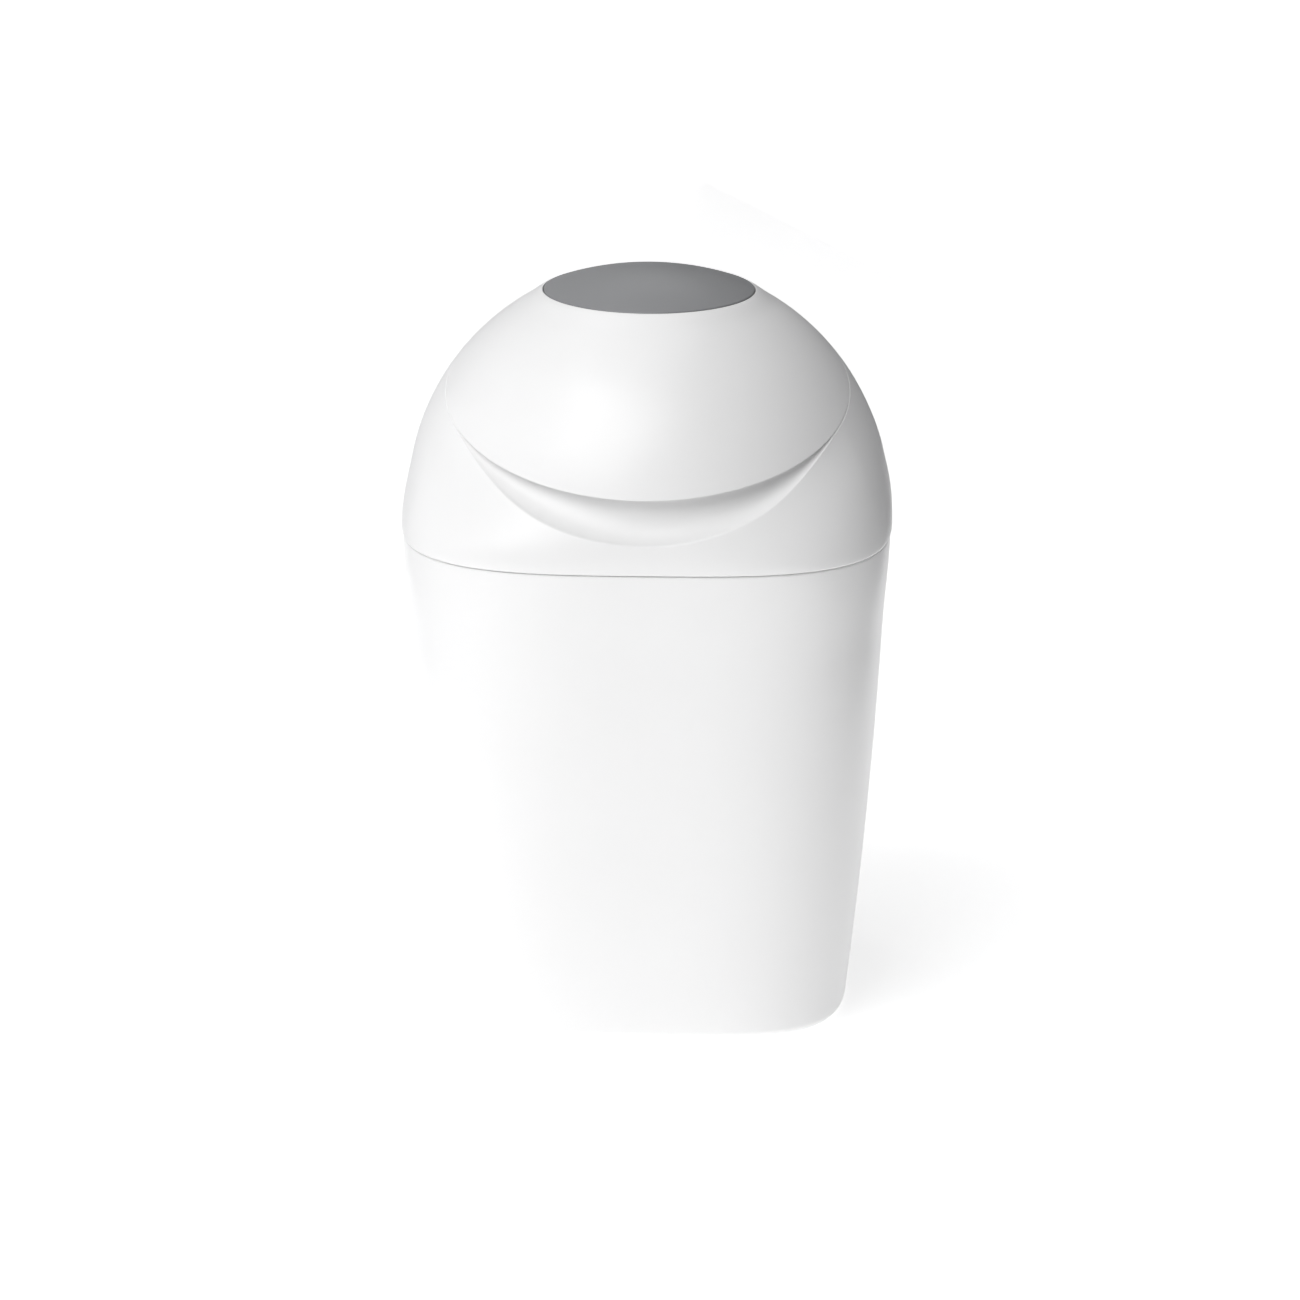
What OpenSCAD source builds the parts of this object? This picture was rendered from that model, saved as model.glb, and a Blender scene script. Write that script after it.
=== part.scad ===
// Domed nappy bin with a tip-back head, a film cassette that twists and a slide cutter.
// Millimetres, +Z up, front towards -Y, origin at the centre of the base on the floor.

/* [Dome] */
// Radius of the sphere that the dome follows
dome_r = 126.5; // [115:0.5:140]
// Height of the sphere's centre above the seam
dome_rise = 6; // [2:0.5:12]
// Slope of the parting plane of the lid, low at the front
lid_tilt = 19; // [14:1:22]
// Height above the sphere's centre at which the parting plane meets the upright axis
lid_rise = 74; // [68:1:80]
// Wall of the lid
lid_wall = 2.5; // [2:0.1:3]
// Air between the lid and the head at the parting plane
lid_gap = 0.5; // [0.4:0.1:0.8]

/* [Top disc] */
// Radius of the grey disc
disc_r = 55.2; // [45:0.1:60]
// Air round the disc
disc_gap = 0.5; // [0.3:0.1:1]
// Depth of the disc's seat below the dome
disc_depth = 3.2; // [2.5:0.1:4]
// How far the middle of the disc stays below the dome's sphere
disc_drop = 1.4; // [1:0.1:2]
// How far the disc's rim stays below the lip round it
disc_rim_drop = 0.4; // [0:0.1:0.8]
// Height of the raised lip round the disc's seat
lip_h = 1.1; // [0.6:0.1:1.6]
// Width over which that lip falls back to the dome
lip_w = 11; // [6:0.5:14]
// Radius of the snap pegs under the disc
peg_r = 3; // [2:0.1:4]

/* [Head] */
// Height of the seam between the tub and the head
seam_z = 258; // [230:1:285]
// Wall of the head
head_wall = 2.5; // [2:0.1:3]
// How far the head swells beyond the sphere at the seam
head_swell = 2.2; // [1:0.1:3]
// Height over which that swell fades out
swell_fade = 30; // [20:1:40]
// Width of the lid's seat on the head behind the finger recess
land_w = 1; // [0.6:0.1:4]
// Height of the finger recess at the middle of the front
recess_h = 22; // [15:1:26]
// Depth of the finger recess behind the lid's edge
recess_d = 7.4; // [5:0.1:8]
// Half of the angle that the finger recess spans
recess_angle = 60; // [50:1:70]
// How fast the recess narrows towards its two ends
recess_taper = 2; // [1.2:0.1:2.6]
// Small bevel that runs round the rest of the lid's edge
edge_bevel = 0.8; // [0.5:0.1:1.2]

/* [Tub] */
// Half width of the tub at its base
base_half = 106.6; // [100:0.2:115]
// How far the tub's rim stays inside the head at the seam
seam_step = 0.76; // [0.3:0.02:1.5]
// How far the sides bow outwards half way up
side_bow = 2.8; // [0:0.1:4]
// How far the rim flares outwards
rim_flare = 1.4; // [0:0.1:2]
// Wall of the tub
tub_wall = 2.8; // [2:0.1:3.5]
// Radius of the edge round the base
base_round = 6; // [4:0.5:12]
// Air between the tub's rim and the head
seam_gap = 0.4; // [0.3:0.1:0.6]
// Squareness of the plan at the seam, where 2 is round
squareness = 3.27; // [2.4:0.05:4]

/* [Hinges] */
// Radius of the hinge pins
pin_r = 1.5; // [1.2:0.1:1.8]
// Air round the hinge pins
pin_clear = 0.05; // [0.02:0.01:0.1]
// Radius of the knuckles at the back of the tub
tub_knuckle_r = 5; // [4.5:0.1:5.4]
// Length of one knuckle at the back of the tub
tub_knuckle_w = 21.6; // [16:0.2:26]
// Radius of the knuckles at the back of the lid
lid_knuckle_r = 4; // [3.5:0.1:4.4]
// Length of one knuckle at the back of the lid
lid_knuckle_w = 10.4; // [9:0.2:18]
// Air between neighbouring knuckles
knuckle_gap = 0.4; // [0.3:0.1:0.8]
// Air between the head's wall and the knuckles behind it
knuckle_air = 0.64; // [0.4:0.02:1.5]

/* [Cassette] */
// Width of the film cassette from its throat to its outer wall
cassette_w = 30; // [26:0.5:34]
// Height of the film cassette's tub
cassette_h = 56; // [50:0.5:60]
// Wall of the cassette
cassette_wall = 1.6; // [1.2:0.1:2]
// Width of the slot that the film comes out of
film_slot = 3.4; // [3:0.1:5]
// Pitch of the folds in the film pack
fold_pitch = 2.6; // [2:0.2:6]
// Depth of the folds in the film pack
fold_depth = 1.4; // [0.8:0.1:2]
// Radius of the knot that closes the film
knot_r = 12; // [11:0.5:14]

/* [Twist ring] */
// Wall of the twist ring
ring_wall = 2.6; // [2:0.1:3]
// Air between the cassette and the twist ring
cassette_gap = 0.6; // [0.4:0.1:1]
// How far the twist ring stands above the cassette's cap
ring_over = 3.6; // [2:0.2:5]
// Radial width of the flange that carries the twist ring
bearing_w = 7.6; // [6:0.2:9]
// Thickness of that flange
bearing_t = 2.6; // [2:0.1:3]
// Number of click notches round that flange
notches = 36; // [24:1:48]
// Number of finger grips on the ring
grips = 12; // [8:1:20]

/* [Well] */
// Wall and floor of the well that holds the twist ring
well_wall = 2.5; // [2:0.1:3]
// Width of the well's flange outside the rebate for the twist ring
flange_land = 12.7; // [11:0.1:15]
// Depth of the well below the seam
well_depth = 36; // [32:0.5:40]
// Air that lets the twist ring turn
turn_gap = 0.3; // [0.2:0.05:0.5]

/* [Clamp and cutter] */
// Number of fingers in the film clamp
fingers = 12; // [8:1:16]
// Radius of the hole that the fingers leave
finger_hole_r = 10; // [8:0.5:11]
// How far the fingers reach down
finger_drop = 14; // [10:0.5:16]
// Thickness of the fingers
finger_t = 1.4; // [1:0.1:2]
// Thickness of the clamp's retaining ring
retainer_t = 2.7; // [2:0.1:3.5]
// Half of the gap between the cutter's rails
rail_half_gap = 11; // [9:0.5:14]
// Width of a rail
rail_w = 5; // [4:0.5:7]
// Height of a rail
rail_h = 7; // [6:0.5:9]
// Length of the cutter's carriage
carriage_l = 36; // [28:1:44]
// Thickness of the blade
blade_t = 0.6; // [0.4:0.1:1]

/* [Snap clip] */
// Width of the clip behind the tub's front wall
clip_w = 36; // [30:1:44]
// Thickness of the clip
clip_t = 2.2; // [1.8:0.1:3]
// Height of the clip
clip_h = 13; // [10:0.5:18]
// Depth of the clip's foot under the head's floor
clip_foot = 13.5; // [12:0.5:16]
// Air between the clip and the tub's wall
clip_gap = 0.9; // [0.5:0.1:1.5]

/* [Fasteners] */
// Radius of a screw's shank
screw_r = 1.5; // [1.2:0.1:1.8]
// Radius of a screw's head
screw_head_r = 3.2; // [2.8:0.1:3.6]
// Height of a screw's head
screw_head_h = 2; // [1.5:0.1:2.5]
// Radius of a screw boss
boss_r = 4.2; // [3.8:0.1:5]

/* [Hidden] */
$fn = 96;

// Steps round the large spheres, whose thin shells need more than the rest
sphere_fn = 240;

// Steps round a lofted section, and the squareness of the tub's base
sides = 96;
base_squareness = 3.65;
eps = 0.01;

// Air round a screw in the piece it passes through, and the length of its point
screw_clear = 0.2;
screw_tip = 1.2;

// Parting plane: distance from the sphere's centre along its own normal, and its slope
dome_z = seam_z + dome_rise;
plane_d = lid_rise * cos(lid_tilt);
slope = tan(lid_tilt);
edge_r = sqrt(dome_r * dome_r - plane_d * plane_d);

// Mouth of the head, in the parting plane: it clears the finger recess and its wall
mouth_r = edge_r - (edge_bevel + recess_d + head_wall + land_w) / cos(lid_tilt);

// Lid: liner and seal, measured up from the parting plane
seal_h = 3.2;
seal_w = 2.6;
seal_lift = 0.2;
seal_r = mouth_r + 0.8;
liner_t = 2.2;
liner_z = seal_h + 0.3;
liner_r = sqrt(pow(dome_r - lid_wall, 2) - pow(plane_d + liner_z + liner_t + 0.6, 2)) - 0.4;
liner_crown = 9;
liner_screw_inset = 13;
liner_screw_r = mouth_r - liner_screw_inset;
liner_screw_l = 8;
liner_screw_count = 6;
liner_flat = 6;
liner_rise_r = liner_screw_r - boss_r - liner_flat;

// Seat of the disc, and the pegs under the disc
seat_r = disc_r + disc_gap;
peg_place_r = 0.6 * disc_r;
peg_l = 13;
peg_low = dome_r - disc_depth - peg_l;
peg_gap = 0.2;

// Back edge of the lid, and the lid's hinge just outside it
lid_back_angle = asin(plane_d / dome_r) + lid_tilt;
lid_axis_r = dome_r + lid_knuckle_r + 0.6;
lid_axis_y = lid_axis_r * cos(lid_back_angle);
lid_axis_z = dome_z + lid_axis_r * sin(lid_back_angle);
lid_knuckles = 5;
lid_pitch = lid_knuckle_w + knuckle_gap;
web_inset = 0.4;
lid_web_top = 5.5;
lid_web_back = 2;
head_web_low = -8;
head_web_top = -0.1;
head_web_back = 5;

// Half width of the head at the seam, and of the tub's rim just inside it
head_seam_half = sqrt(dome_r * dome_r - dome_rise * dome_rise) + head_swell;
rim_half = head_seam_half - seam_step - rim_flare;

// Hinge of the head, outside the back wall at the height of the seam
head_axis_y = head_seam_half + tub_knuckle_r + knuckle_air;
head_axis_z = seam_z;
head_knuckles = 5;
head_pitch = tub_knuckle_w + knuckle_gap;
tub_web_h = 13;
tub_web_sink = 0.6;
head_web_h = 10;

// Tub
tub_top = seam_z - seam_gap;
flare_h = 16;
flare_drop = 15.6;
flare_to = tub_top - flare_drop;
flare_from = flare_to - flare_h;
rim_round = 1.1;

// Snap clip at the front, just inside the tub's wall
clip_face_y = rim_half + rim_flare - tub_wall - clip_gap;
clip_screw_x = 10;
clip_screw_inset = 7.4;
clip_screw_y = clip_face_y - clip_screw_inset;
clip_back_gap = 0.6;

// Well and twist ring, from the clip's foot inwards to the cassette and its throat
well_flange_r = clip_face_y - clip_foot - clip_back_gap;
rebate_r = well_flange_r - flange_land;
bearing_r = rebate_r - 0.5;
ring_out_r = bearing_r - bearing_w;
ring_in_r = ring_out_r - ring_wall;
cassette_r = ring_in_r - cassette_gap;
throat_r = cassette_r - cassette_w;
floor_hole_r = ring_out_r + 2.4;
ring_rim_r = floor_hole_r - 0.5;
floor_t = 2.5;
well_in_r = ring_out_r + 0.8;
well_out_r = well_in_r + well_wall;
well_floor_z = seam_z - well_depth;
flange_t = 6;
bearing_top = seam_z - turn_gap;
bearing_z = bearing_top - bearing_t;
rebate_z = bearing_z - turn_gap;
flange_z = seam_z - flange_t;
well_screw_inset = 4.6;
well_screw_r = well_flange_r - well_screw_inset;
boss_h = 8;

// Click spring, and its pocket in the well's flange
spring_l = 22;
spring_seat = 2.6;
pocket_l = spring_l + 2;
pocket_d = 3.4;

// Floor of the twist ring, and the cassette on it
ring_floor_z = well_floor_z + well_wall + 0.5;
ring_floor_t = 2.5;
ring_floor_in = throat_r + 6;
cassette_z = ring_floor_z + ring_floor_t + 0.3;
cassette_top = cassette_z + cassette_h;
cap_t = 2.6;
cap_in_r = throat_r + cassette_wall + film_slot;
ring_top = cassette_top + cap_t + ring_over;
inner_lip_z = cassette_top - 2.6;
key_w = 8;
key_depth = 2;
key_gap = 0.4;
keys = 3;

// Film pack and film sleeve
pack_in_r = throat_r + cassette_wall + 1.2;
pack_out_r = cassette_r - cassette_wall - 2.8;
pack_z = cassette_z + cassette_wall + 0.3;
pack_headroom = 9;
pack_top = cassette_top - pack_headroom;
gather_lift = 11;
film_t = 0.5;
film_clear = 0.5;

// Clamp and its retaining ring, under the well's floor
clamp_t = 2.4;
retainer_r = well_out_r - 0.5;
retainer_screw_r = retainer_r - 5;
clamp_r = retainer_screw_r - boss_r - 0.8;
clamp_in_r = ring_floor_in;
retainer_in_r = clamp_in_r + 5;
finger_root = 4;
finger_slot = 1.8;
tip_z = well_floor_z - clamp_t - finger_drop;
knot_lift = 0.5;
knot_z = tip_z + finger_t + sqrt(knot_r * knot_r - finger_hole_r * finger_hole_r) + knot_lift;
retainer_top = well_floor_z - clamp_t - 0.3;
retainer_z = retainer_top - retainer_t;

// Cutter, clear of the fingers and of the knot that rests on them
cutter_gap = 1.5;
rail_top = min(tip_z, knot_z - knot_r) - cutter_gap;
rail_z = rail_top - rail_h;
rail_half_l = retainer_r - 2;
rail_end_w = 6;
guide_foot_t = 4;
guide_foot_l = 16;
guide_screw_inset = 12;
guide_screw_r = retainer_r - guide_screw_inset;
carriage_start = 8;
carriage_x = -rail_half_l + carriage_start;
carriage_gap = 0.3;
tongue_h = 1.6;
tongue_w = 1.5;
tab_l = 6;
tab_h = 9;
blade_under = 2;
blade_reach = 16;
blade_shoulder = 4;
blade_seat = 12;
blade_z = rail_z + rail_h - blade_under - blade_t;

function ease(t) = let (c = min(1, max(0, t))) c * c * (3 - 2 * c);
function azimuth(i) = 360 * i / sides;

// Radius factor of a squircle of exponent n at azimuth t, 1 at the middle of each side
function squircle(t, n) = pow(pow(abs(cos(t)), n) + pow(abs(sin(t)), n), -1 / n);

// Closed skin through rings of points, each ring with the same count
module loft(rings, looped = false) {
    n = len(rings[0]);
    last = len(rings) - 1;
    bands = looped ? last : last - 1;
    points = [for (ring = rings) each ring];
    skin = [
        for (j = [0 : bands], i = [0 : n - 1])
            let (
                k = (j + 1) % len(rings),
                a = j * n + i,
                b = j * n + (i + 1) % n,
                c = k * n + (i + 1) % n,
                d = k * n + i
            )
            each [[a, c, b], [a, d, c]]
    ];
    caps = looped ? [] : [[for (i = [0 : n - 1]) i], [for (i = [n - 1 : -1 : 0]) last * n + i]];
    polyhedron(points, concat(skin, caps), convexity = 10);
}

// Tub

function tub_half(z) =
    let (t = z / tub_top)
    base_half + (rim_half - base_half) * t + 4 * side_bow * t * (1 - t)
    + rim_flare * ease((z - flare_from) / (flare_to - flare_from));

function tub_n(z) = base_squareness + (squareness - base_squareness) * z / tub_top;

function tub_ring(z, inset) = [
    for (i = [0 : sides - 1])
        let (t = azimuth(i), r = (tub_half(z) - inset) * squircle(t, tub_n(z)))
        [r * cos(t), r * sin(t), z]
];

module tub_skin() {
    fillet_steps = 4;
    wall_steps = 7;
    inner_steps = 3;
    inner_round = base_round - tub_wall;
    wall_h = flare_from - base_round;
    loft([
        for (k = [0 : fillet_steps - 1])
            let (a = 90 * k / fillet_steps)
            tub_ring(base_round * (1 - cos(a)), base_round * (1 - sin(a))),
        for (k = [0 : wall_steps]) tub_ring(base_round + wall_h * k / wall_steps, 0),
        for (share = [0.33, 0.67, 1]) tub_ring(flare_from + (flare_to - flare_from) * share, 0),
        for (a = [0 : 30 : 90]) tub_ring(tub_top - rim_round * (1 - sin(a)), rim_round * (1 - cos(a))),
        tub_ring(tub_top, tub_wall - 0.4),
        tub_ring(tub_top - 0.4, tub_wall),
        tub_ring(flare_to, tub_wall),
        for (k = [inner_steps : -1 : 0]) tub_ring(base_round + wall_h * k / inner_steps, tub_wall),
        for (k = [fillet_steps - 1 : -1 : 0])
            let (a = 90 * k / fillet_steps)
            tub_ring(base_round - inner_round * cos(a), tub_wall + inner_round * (1 - sin(a)))
    ]);
}

// Places the children at every second knuckle, from the first or from the second one on
module at_knuckles(first, count, pitch) {
    for (k = [first : 2 : count - 1]) translate([(k - (count - 1) / 2) * pitch, 0, 0]) children();
}

module knuckle(r, w) {
    rotate([0, 90, 0]) cylinder(r = r, h = w, center = true);
}

module knuckle_bores(count, pitch) {
    rotate([0, 90, 0]) cylinder(r = pin_r + pin_clear, h = count * pitch + 2, center = true);
}

module tub() {
    web_y = rim_half + rim_flare - tub_wall / 2;
    color("white")
    difference() {
        union() {
            tub_skin();
            translate([0, head_axis_y, head_axis_z])
                at_knuckles(0, head_knuckles, head_pitch) knuckle(tub_knuckle_r, tub_knuckle_w);
            at_knuckles(0, head_knuckles, head_pitch)
                translate([-tub_knuckle_w / 2, web_y, tub_top - tub_web_sink - tub_web_h])
                cube([tub_knuckle_w, head_axis_y - web_y, tub_web_h]);
        }
        translate([0, head_axis_y, head_axis_z]) knuckle_bores(head_knuckles, head_pitch);
    }
}

// Head

// Radius, at azimuth t, of the circle in which a sphere of radius r meets the parting plane
// that crosses the axis at height h above the sphere's centre
function plane_r(t, r, h) =
    let (s = slope * sin(t), q = 1 + s * s)
    (sqrt(r * r * q - h * h) - h * s) / q;

function plane_z(t, r, h) = dome_z + h + slope * r * sin(t);

function lid_line_r(t) = plane_r(t, dome_r, lid_rise);
function lid_line_z(t) = plane_z(t, lid_line_r(t), lid_rise);

// Section of the head: squircle at the seam, circle of the sphere at the lid line
blend_h = 62;
function head_n(t, z) =
    let (top = min(lid_line_z(t), seam_z + blend_h))
    2 + (squareness - 2) * (1 - ease((z - seam_z) / (top - seam_z)));

function head_half(z, r) =
    sqrt(r * r - pow(z - dome_z, 2)) + head_swell * (1 - ease((z - seam_z) / swell_fade));

function head_r(t, z, wall) = head_half(z, dome_r - wall) * squircle(t, head_n(t, z));

// Finger recess: share of its full size at azimuth t, then its height and depth there
front = 270;
function front_angle(t) = abs(t - front) > 180 ? 360 - abs(t - front) : abs(t - front);
function recess(t) = 1 - pow(min(1, front_angle(t) / recess_angle), 2);
function cut_h(t) = edge_bevel + recess_h * pow(recess(t), recess_taper);
function cut_d(t) = edge_bevel + recess_d * recess(t);

function cut_low_z(t) = lid_line_z(t) - cut_h(t);
function cut_top_r(t) = lid_line_r(t) - cut_d(t);
function land_in_r(t) = cut_top_r(t) - head_wall;
function land_under_z(t) = plane_z(t, land_in_r(t), lid_rise) - head_wall;
function cut_under_z(t) = min(cut_low_z(t) - head_wall, land_under_z(t) - 0.6);

mouth_sphere = sqrt(mouth_r * mouth_r + plane_d * plane_d);

function polar(t, r, z) = [r * cos(t), r * sin(t), z];

function outer_ring(share) = [
    for (i = [0 : sides - 1])
        let (t = azimuth(i), low = seam_z + 2, z = low + (cut_low_z(t) - low) * share)
        polar(t, head_r(t, z, 0), z)
];

function cut_ring(share) = [
    for (i = [0 : sides - 1])
        let (
            t = azimuth(i),
            z0 = cut_low_z(t),
            r0 = head_r(t, z0, 0),
            r1 = cut_top_r(t),
            z1 = plane_z(t, r1, lid_rise),
            inward = 0.6 * share + 0.4 * sin(90 * share),
            upward = 0.6 * share + 0.4 * (1 - cos(90 * share))
        )
        polar(t, r0 + (r1 - r0) * inward, z0 + (z1 - z0) * upward)
];

function inner_ring(share) = [
    for (i = [0 : sides - 1])
        let (
            t = azimuth(i),
            top = cut_under_z(t) - 1.4,
            low = seam_z + floor_t,
            z = top + (low - top) * share
        )
        polar(t, head_r(t, z, head_wall), z)
];

function seam_ring(inset, z) = [
    for (i = [0 : sides - 1]) let (t = azimuth(i)) polar(t, head_r(t, z, 0) - inset, z)
];

function flat_circle(r, z) = [for (i = [0 : sides - 1]) polar(azimuth(i), r, z)];

module head_skin() {
    outer_steps = 8;
    cut_steps = 4;
    inner_steps = 6;
    hole_r = floor_hole_r - 3;
    loft([
        seam_ring(1.2, seam_z),
        seam_ring(0.35, seam_z + 0.5),
        for (k = [0 : outer_steps]) outer_ring(k / outer_steps),
        for (k = [1 : cut_steps]) cut_ring(k / cut_steps),
        [
            for (i = [0 : sides - 1])
                let (t = azimuth(i), r = plane_r(t, mouth_sphere, lid_rise))
                polar(t, r, plane_z(t, r, lid_rise))
        ],
        [
            for (i = [0 : sides - 1])
                let (t = azimuth(i), r = plane_r(t, mouth_sphere, lid_rise))
                polar(t, r, plane_z(t, r, lid_rise) - head_wall)
        ],
        [for (i = [0 : sides - 1]) let (t = azimuth(i)) polar(t, land_in_r(t), land_under_z(t))],
        [for (i = [0 : sides - 1]) let (t = azimuth(i)) polar(t, land_in_r(t), cut_under_z(t))],
        for (k = [0 : inner_steps]) inner_ring(k / inner_steps),
        flat_circle(hole_r, seam_z + floor_t),
        flat_circle(hole_r, seam_z)
    ], looped = true);
}

// Places the children round the axis
module round_axis(count, from = 0) {
    for (k = [0 : count - 1]) rotate([0, 0, from + 360 * k / count]) children();
}

module at_corners(r) {
    round_axis(4, 45) translate([r, 0, 0]) children();
}

module at_clip_screws() {
    for (x = [-clip_screw_x, clip_screw_x]) translate([x, -clip_screw_y, 0]) children();
}

module lid_frame() {
    translate([0, 0, dome_z]) rotate([lid_tilt, 0, 0]) translate([0, 0, plane_d]) children();
}

// Webs from the skin to the lid's knuckles, a little narrower than these, between two heights
// over the parting plane and out to the given distance past the lid's edge
module lid_webs(first, low, high, back) {
    root = 9;
    web_w = lid_knuckle_w - 2 * web_inset;
    at_knuckles(first, lid_knuckles, lid_pitch)
        lid_frame()
        translate([-web_w / 2, edge_r - root, low])
        cube([web_w, root + back, high - low]);
}

module head_shell() {
    web_y = head_seam_half - 0.7 * head_wall;
    color("white")
    difference() {
        union() {
            head_skin();
            translate([0, head_axis_y, head_axis_z])
                at_knuckles(1, head_knuckles, head_pitch) knuckle(tub_knuckle_r, tub_knuckle_w);
            at_knuckles(1, head_knuckles, head_pitch)
                translate([-tub_knuckle_w / 2, web_y, seam_z])
                cube([tub_knuckle_w, head_axis_y - web_y, head_web_h]);
            translate([0, lid_axis_y, lid_axis_z])
                at_knuckles(1, lid_knuckles, lid_pitch) knuckle(lid_knuckle_r, lid_knuckle_w);
            lid_webs(1, head_web_low, head_web_top, head_web_back);
            translate([0, 0, seam_z + 1]) at_corners(well_screw_r) cylinder(r = boss_r, h = boss_h);
            translate([0, 0, seam_z + 1]) at_clip_screws() cylinder(r = boss_r, h = boss_h - 1);
        }
        translate([0, 0, seam_z - 1]) cylinder(r = floor_hole_r, h = floor_t + 2);
        translate([0, head_axis_y, head_axis_z]) knuckle_bores(head_knuckles, head_pitch);
        translate([0, lid_axis_y, lid_axis_z]) knuckle_bores(lid_knuckles, lid_pitch);
        translate([0, 0, seam_z - 1])
            at_corners(well_screw_r) cylinder(r = screw_r + pin_clear, h = boss_h + 1);
        translate([0, 0, seam_z - 1]) at_clip_screws() cylinder(r = screw_r + pin_clear, h = boss_h);
    }
}

// Lid

// The sphere's poles lie fore and aft, below the parting plane, so none falls on a face of the lid
module dome_solid(inset) {
    translate([0, 0, dome_z]) rotate([90, 0, 0]) sphere(r = dome_r - inset, $fn = sphere_fn);
}

module lid_boss_places() {
    lid_frame() round_axis(liner_screw_count, 30) translate([liner_screw_r, 0, 0]) children();
}

module at_pegs() {
    translate([0, 0, dome_z]) round_axis(3, 90) translate([peg_place_r, 0, 0]) children();
}

// Everything above the parting plane, from the given height over it
module above_plane(height) {
    size = 4 * dome_r;
    lid_frame() translate([-size / 2, -size / 2, height]) cube(size);
}

function sphere_z(r) = sqrt(dome_r * dome_r - r * r);

// Raised lip round the disc's seat, from just inside the seat to where it sinks into the dome
module disc_lip() {
    steps = 6;
    overlap = 0.5;
    sink = 0.2;
    radii = [for (k = [0 : steps]) seat_r - overlap + (lip_w + overlap) * k / steps];
    translate([0, 0, dome_z])
    rotate_extrude()
    polygon(concat(
        [for (k = [0 : steps]) [radii[k], sphere_z(radii[k]) + (lip_h + sink) * cos(90 * k / steps) - sink]],
        [for (k = [steps : -1 : 0]) [radii[k], sphere_z(radii[k]) - lid_wall / 2]]
    ));
}

module dome_lid() {
    color("white")
    difference() {
        union() {
            intersection() {
                union() {
                    difference() {
                        dome_solid(0);
                        dome_solid(lid_wall);
                    }
                    disc_lip();
                    intersection() {
                        translate([0, 0, dome_z]) cylinder(r = seat_r + lid_wall, h = dome_r);
                        difference() {
                            dome_solid(lid_wall / 2);
                            dome_solid(disc_depth + lid_wall);
                        }
                    }
                }
                above_plane(lid_gap);
            }
            intersection() {
                lid_boss_places() translate([0, 0, liner_z + liner_t]) cylinder(r = boss_r, h = dome_r);
                dome_solid(lid_wall / 2);
            }
            translate([0, lid_axis_y, lid_axis_z])
                at_knuckles(0, lid_knuckles, lid_pitch) knuckle(lid_knuckle_r, lid_knuckle_w);
            difference() {
                lid_webs(0, lid_gap, lid_web_top, lid_web_back);
                dome_solid(lid_wall / 2);
            }
        }
        difference() {
            translate([0, 0, dome_z]) cylinder(r = seat_r, h = 2 * dome_r);
            dome_solid(disc_depth);
        }
        at_pegs() cylinder(r = peg_r + peg_gap, h = dome_r);
        lid_boss_places() cylinder(r = screw_r + pin_clear, h = liner_z + liner_screw_l + 2 * screw_tip);
        translate([0, lid_axis_y, lid_axis_z]) knuckle_bores(lid_knuckles, lid_pitch);
    }
}

module top_disc() {
    crown = dome_r - disc_drop;
    rim = sphere_z(disc_r) + lip_h - disc_rim_drop;
    sag = crown - rim;
    face_r = (disc_r * disc_r + sag * sag) / (2 * sag);
    color("darkgray")
    union() {
        difference() {
            intersection() {
                translate([0, 0, dome_z]) cylinder(r = disc_r, h = 2 * dome_r);
                translate([0, 0, dome_z + crown - face_r])
                    rotate([90, 0, 0]) sphere(r = face_r, $fn = sphere_fn);
            }
            dome_solid(disc_depth);
        }
        intersection() {
            at_pegs() translate([0, 0, peg_low]) cylinder(r = peg_r, h = dome_r - peg_low);
            dome_solid(disc_depth - 0.4);
        }
    }
}

module lid_liner() {
    color("whitesmoke")
    difference() {
        lid_frame()
            rotate_extrude()
            polygon([
                [0, liner_z + liner_crown],
                [liner_rise_r, liner_z],
                [liner_r, liner_z],
                [liner_r, liner_z + liner_t],
                [liner_rise_r, liner_z + liner_t],
                [0, liner_z + liner_crown + liner_t]
            ]);
        lid_boss_places() cylinder(r = screw_r + screw_clear, h = 2 * liner_crown);
    }
}

module lid_seal() {
    color("gray")
    lid_frame()
    rotate_extrude()
    translate([seal_r, seal_lift])
    square([seal_w, seal_h]);
}

// Pan-head screw: the head's seat is at the origin, the shank points up
module screw(length) {
    translate([0, 0, -screw_head_h]) cylinder(r = screw_head_r, h = screw_head_h);
    cylinder(r = screw_r, h = length);
    translate([0, 0, length - eps]) cylinder(r1 = screw_r, r2 = 0.4, h = screw_tip);
}

module liner_screws() {
    color("silver") lid_boss_places() translate([0, 0, liner_z]) screw(liner_screw_l);
}

module hinge_pin(count, pitch) {
    rotate([0, 90, 0]) cylinder(r = pin_r, h = count * pitch - knuckle_gap, center = true);
}

module lid_hinge_pin() {
    color("silver") translate([0, lid_axis_y, lid_axis_z]) hinge_pin(lid_knuckles, lid_pitch);
}

module head_hinge_pin() {
    color("silver") translate([0, head_axis_y, head_axis_z]) hinge_pin(head_knuckles, head_pitch);
}

// Well

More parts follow.
